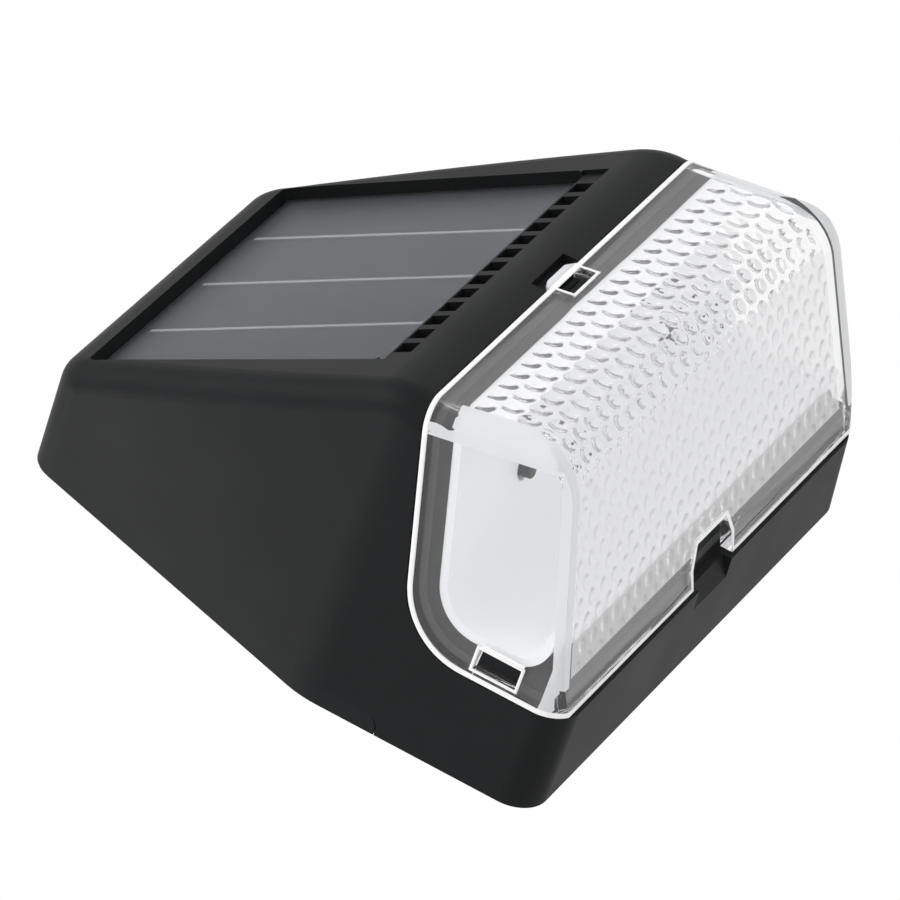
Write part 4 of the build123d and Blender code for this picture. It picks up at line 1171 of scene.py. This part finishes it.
@dataclass
class Studio:
    """White room, pale floor, soft light and the camera of the product picture."""

    focal_px: float = 9715.65  # focal length in pixels of a picture this wide
    picture_px: float = 900.0
    sensor_mm: float = 36.0
    eye: Triple = (-1.05899, -0.78667, -0.37240)
    forward: Triple = (0.78103, 0.57140, 0.25199)
    right: Triple = (0.45361, -0.24175, -0.85778)
    floor_z: float = -2.3  # far enough down to stay below a camera that looks straight up
    floor_half: float = 32.0
    bright_side: Triple = (0.0, -0.8, 0.6)
    dim: float = 0.3  # strength of the walls opposite the bright side
    bright: float = 1.0  # strength on it
    reach: float = 0.7  # how far round the room the one turns into the other
    lamps: tuple[Lamp, ...] = (
        Lamp("key_lamp", (-0.32, -0.5, 1.05), 0.6, 4.0),
        Lamp("back_lamp", (-0.36, 0.4, 0.42), 0.45, 2.0),
    )

    def build(self) -> None:
        """Sets up room, floor, lamps and camera."""
        bpy.context.scene.view_settings.view_transform = "Standard"
        self.room()
        self.floor()
        for lamp in self.lamps:
            lamp.hang()
        self.camera()

    def room(self) -> None:
        """Lights the room from its walls; where the camera, a mirror or glass sees them, they are white."""
        world = bpy.data.worlds.new("white_room")
        bpy.context.scene.world = world
        world.use_nodes = True
        tree = world.node_tree
        tree.nodes.clear()
        path = add_node(tree, "ShaderNodeLightPath").outputs
        facing = {0: add_node(tree, "ShaderNodeTexCoord").outputs["Generated"], 1: self.bright_side}
        side = add_node(tree, "ShaderNodeVectorMath", facing, operation="DOT_PRODUCT").outputs["Value"]
        span = {"Value": side, "From Min": -self.reach, "From Max": self.reach, "To Min": self.dim,
                "To Max": self.bright}
        strength = add_node(tree, "ShaderNodeMapRange", span).outputs["Result"]
        for ray in ("Is Camera Ray", "Is Transmission Ray", "Is Glossy Ray"):
            seen = {0: strength, 1: path[ray]}
            strength = add_node(tree, "ShaderNodeMath", seen, operation="MAXIMUM").outputs[0]
        background = add_node(tree, "ShaderNodeBackground", {"Color": (1, 1, 1, 1), "Strength": strength})
        add_node(tree, "ShaderNodeOutputWorld", {"Surface": background.outputs["Background"]})

    def floor(self) -> None:
        """Lays the floor."""
        mesh = bmesh.new()
        bmesh.ops.create_grid(mesh, x_segments=2, y_segments=2, size=self.floor_half)
        bmesh.ops.translate(mesh, verts=mesh.verts, vec=(0, 0, self.floor_z))
        data = mesh_data("floor", mesh)
        data.materials.append(Finishes.FLOOR.value.build())
        add_object("floor", data)

    def camera(self) -> None:
        """Sets the camera at the picture's viewing angle."""
        data = bpy.data.cameras.new("camera")
        data.sensor_width = self.sensor_mm
        data.lens = self.focal_px / self.picture_px * self.sensor_mm
        data.clip_start, data.clip_end = 0.05, 100.0
        forward = Vector(self.forward).normalized()
        right = (Vector(self.right) - forward * forward.dot(Vector(self.right))).normalized()
        turn = Matrix((right, right.cross(forward), -forward)).transposed().to_4x4()
        camera = add_object("camera", data)
        camera.matrix_world = Matrix.Translation(self.eye) @ turn
        bpy.context.scene.camera = camera


def main() -> None:
    """Dresses the light, adds its Blender-made pieces and sets the studio."""
    logging.basicConfig(level=logging.INFO, format="%(message)s")
    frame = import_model()
    nodes = frame["nodes"]
    PackedNodes(nodes).dress()
    LOG.info("dressed %d nodes", len(nodes))
    for piece in (*ClearCover().build(nodes["lens_cover"]), RoofPanel().build(), *LedDomes().build()):
        LOG.info("%s: %d faces", piece.name, len(piece.data.polygons))
    Studio().build()


if __name__ == "__main__":
    main()
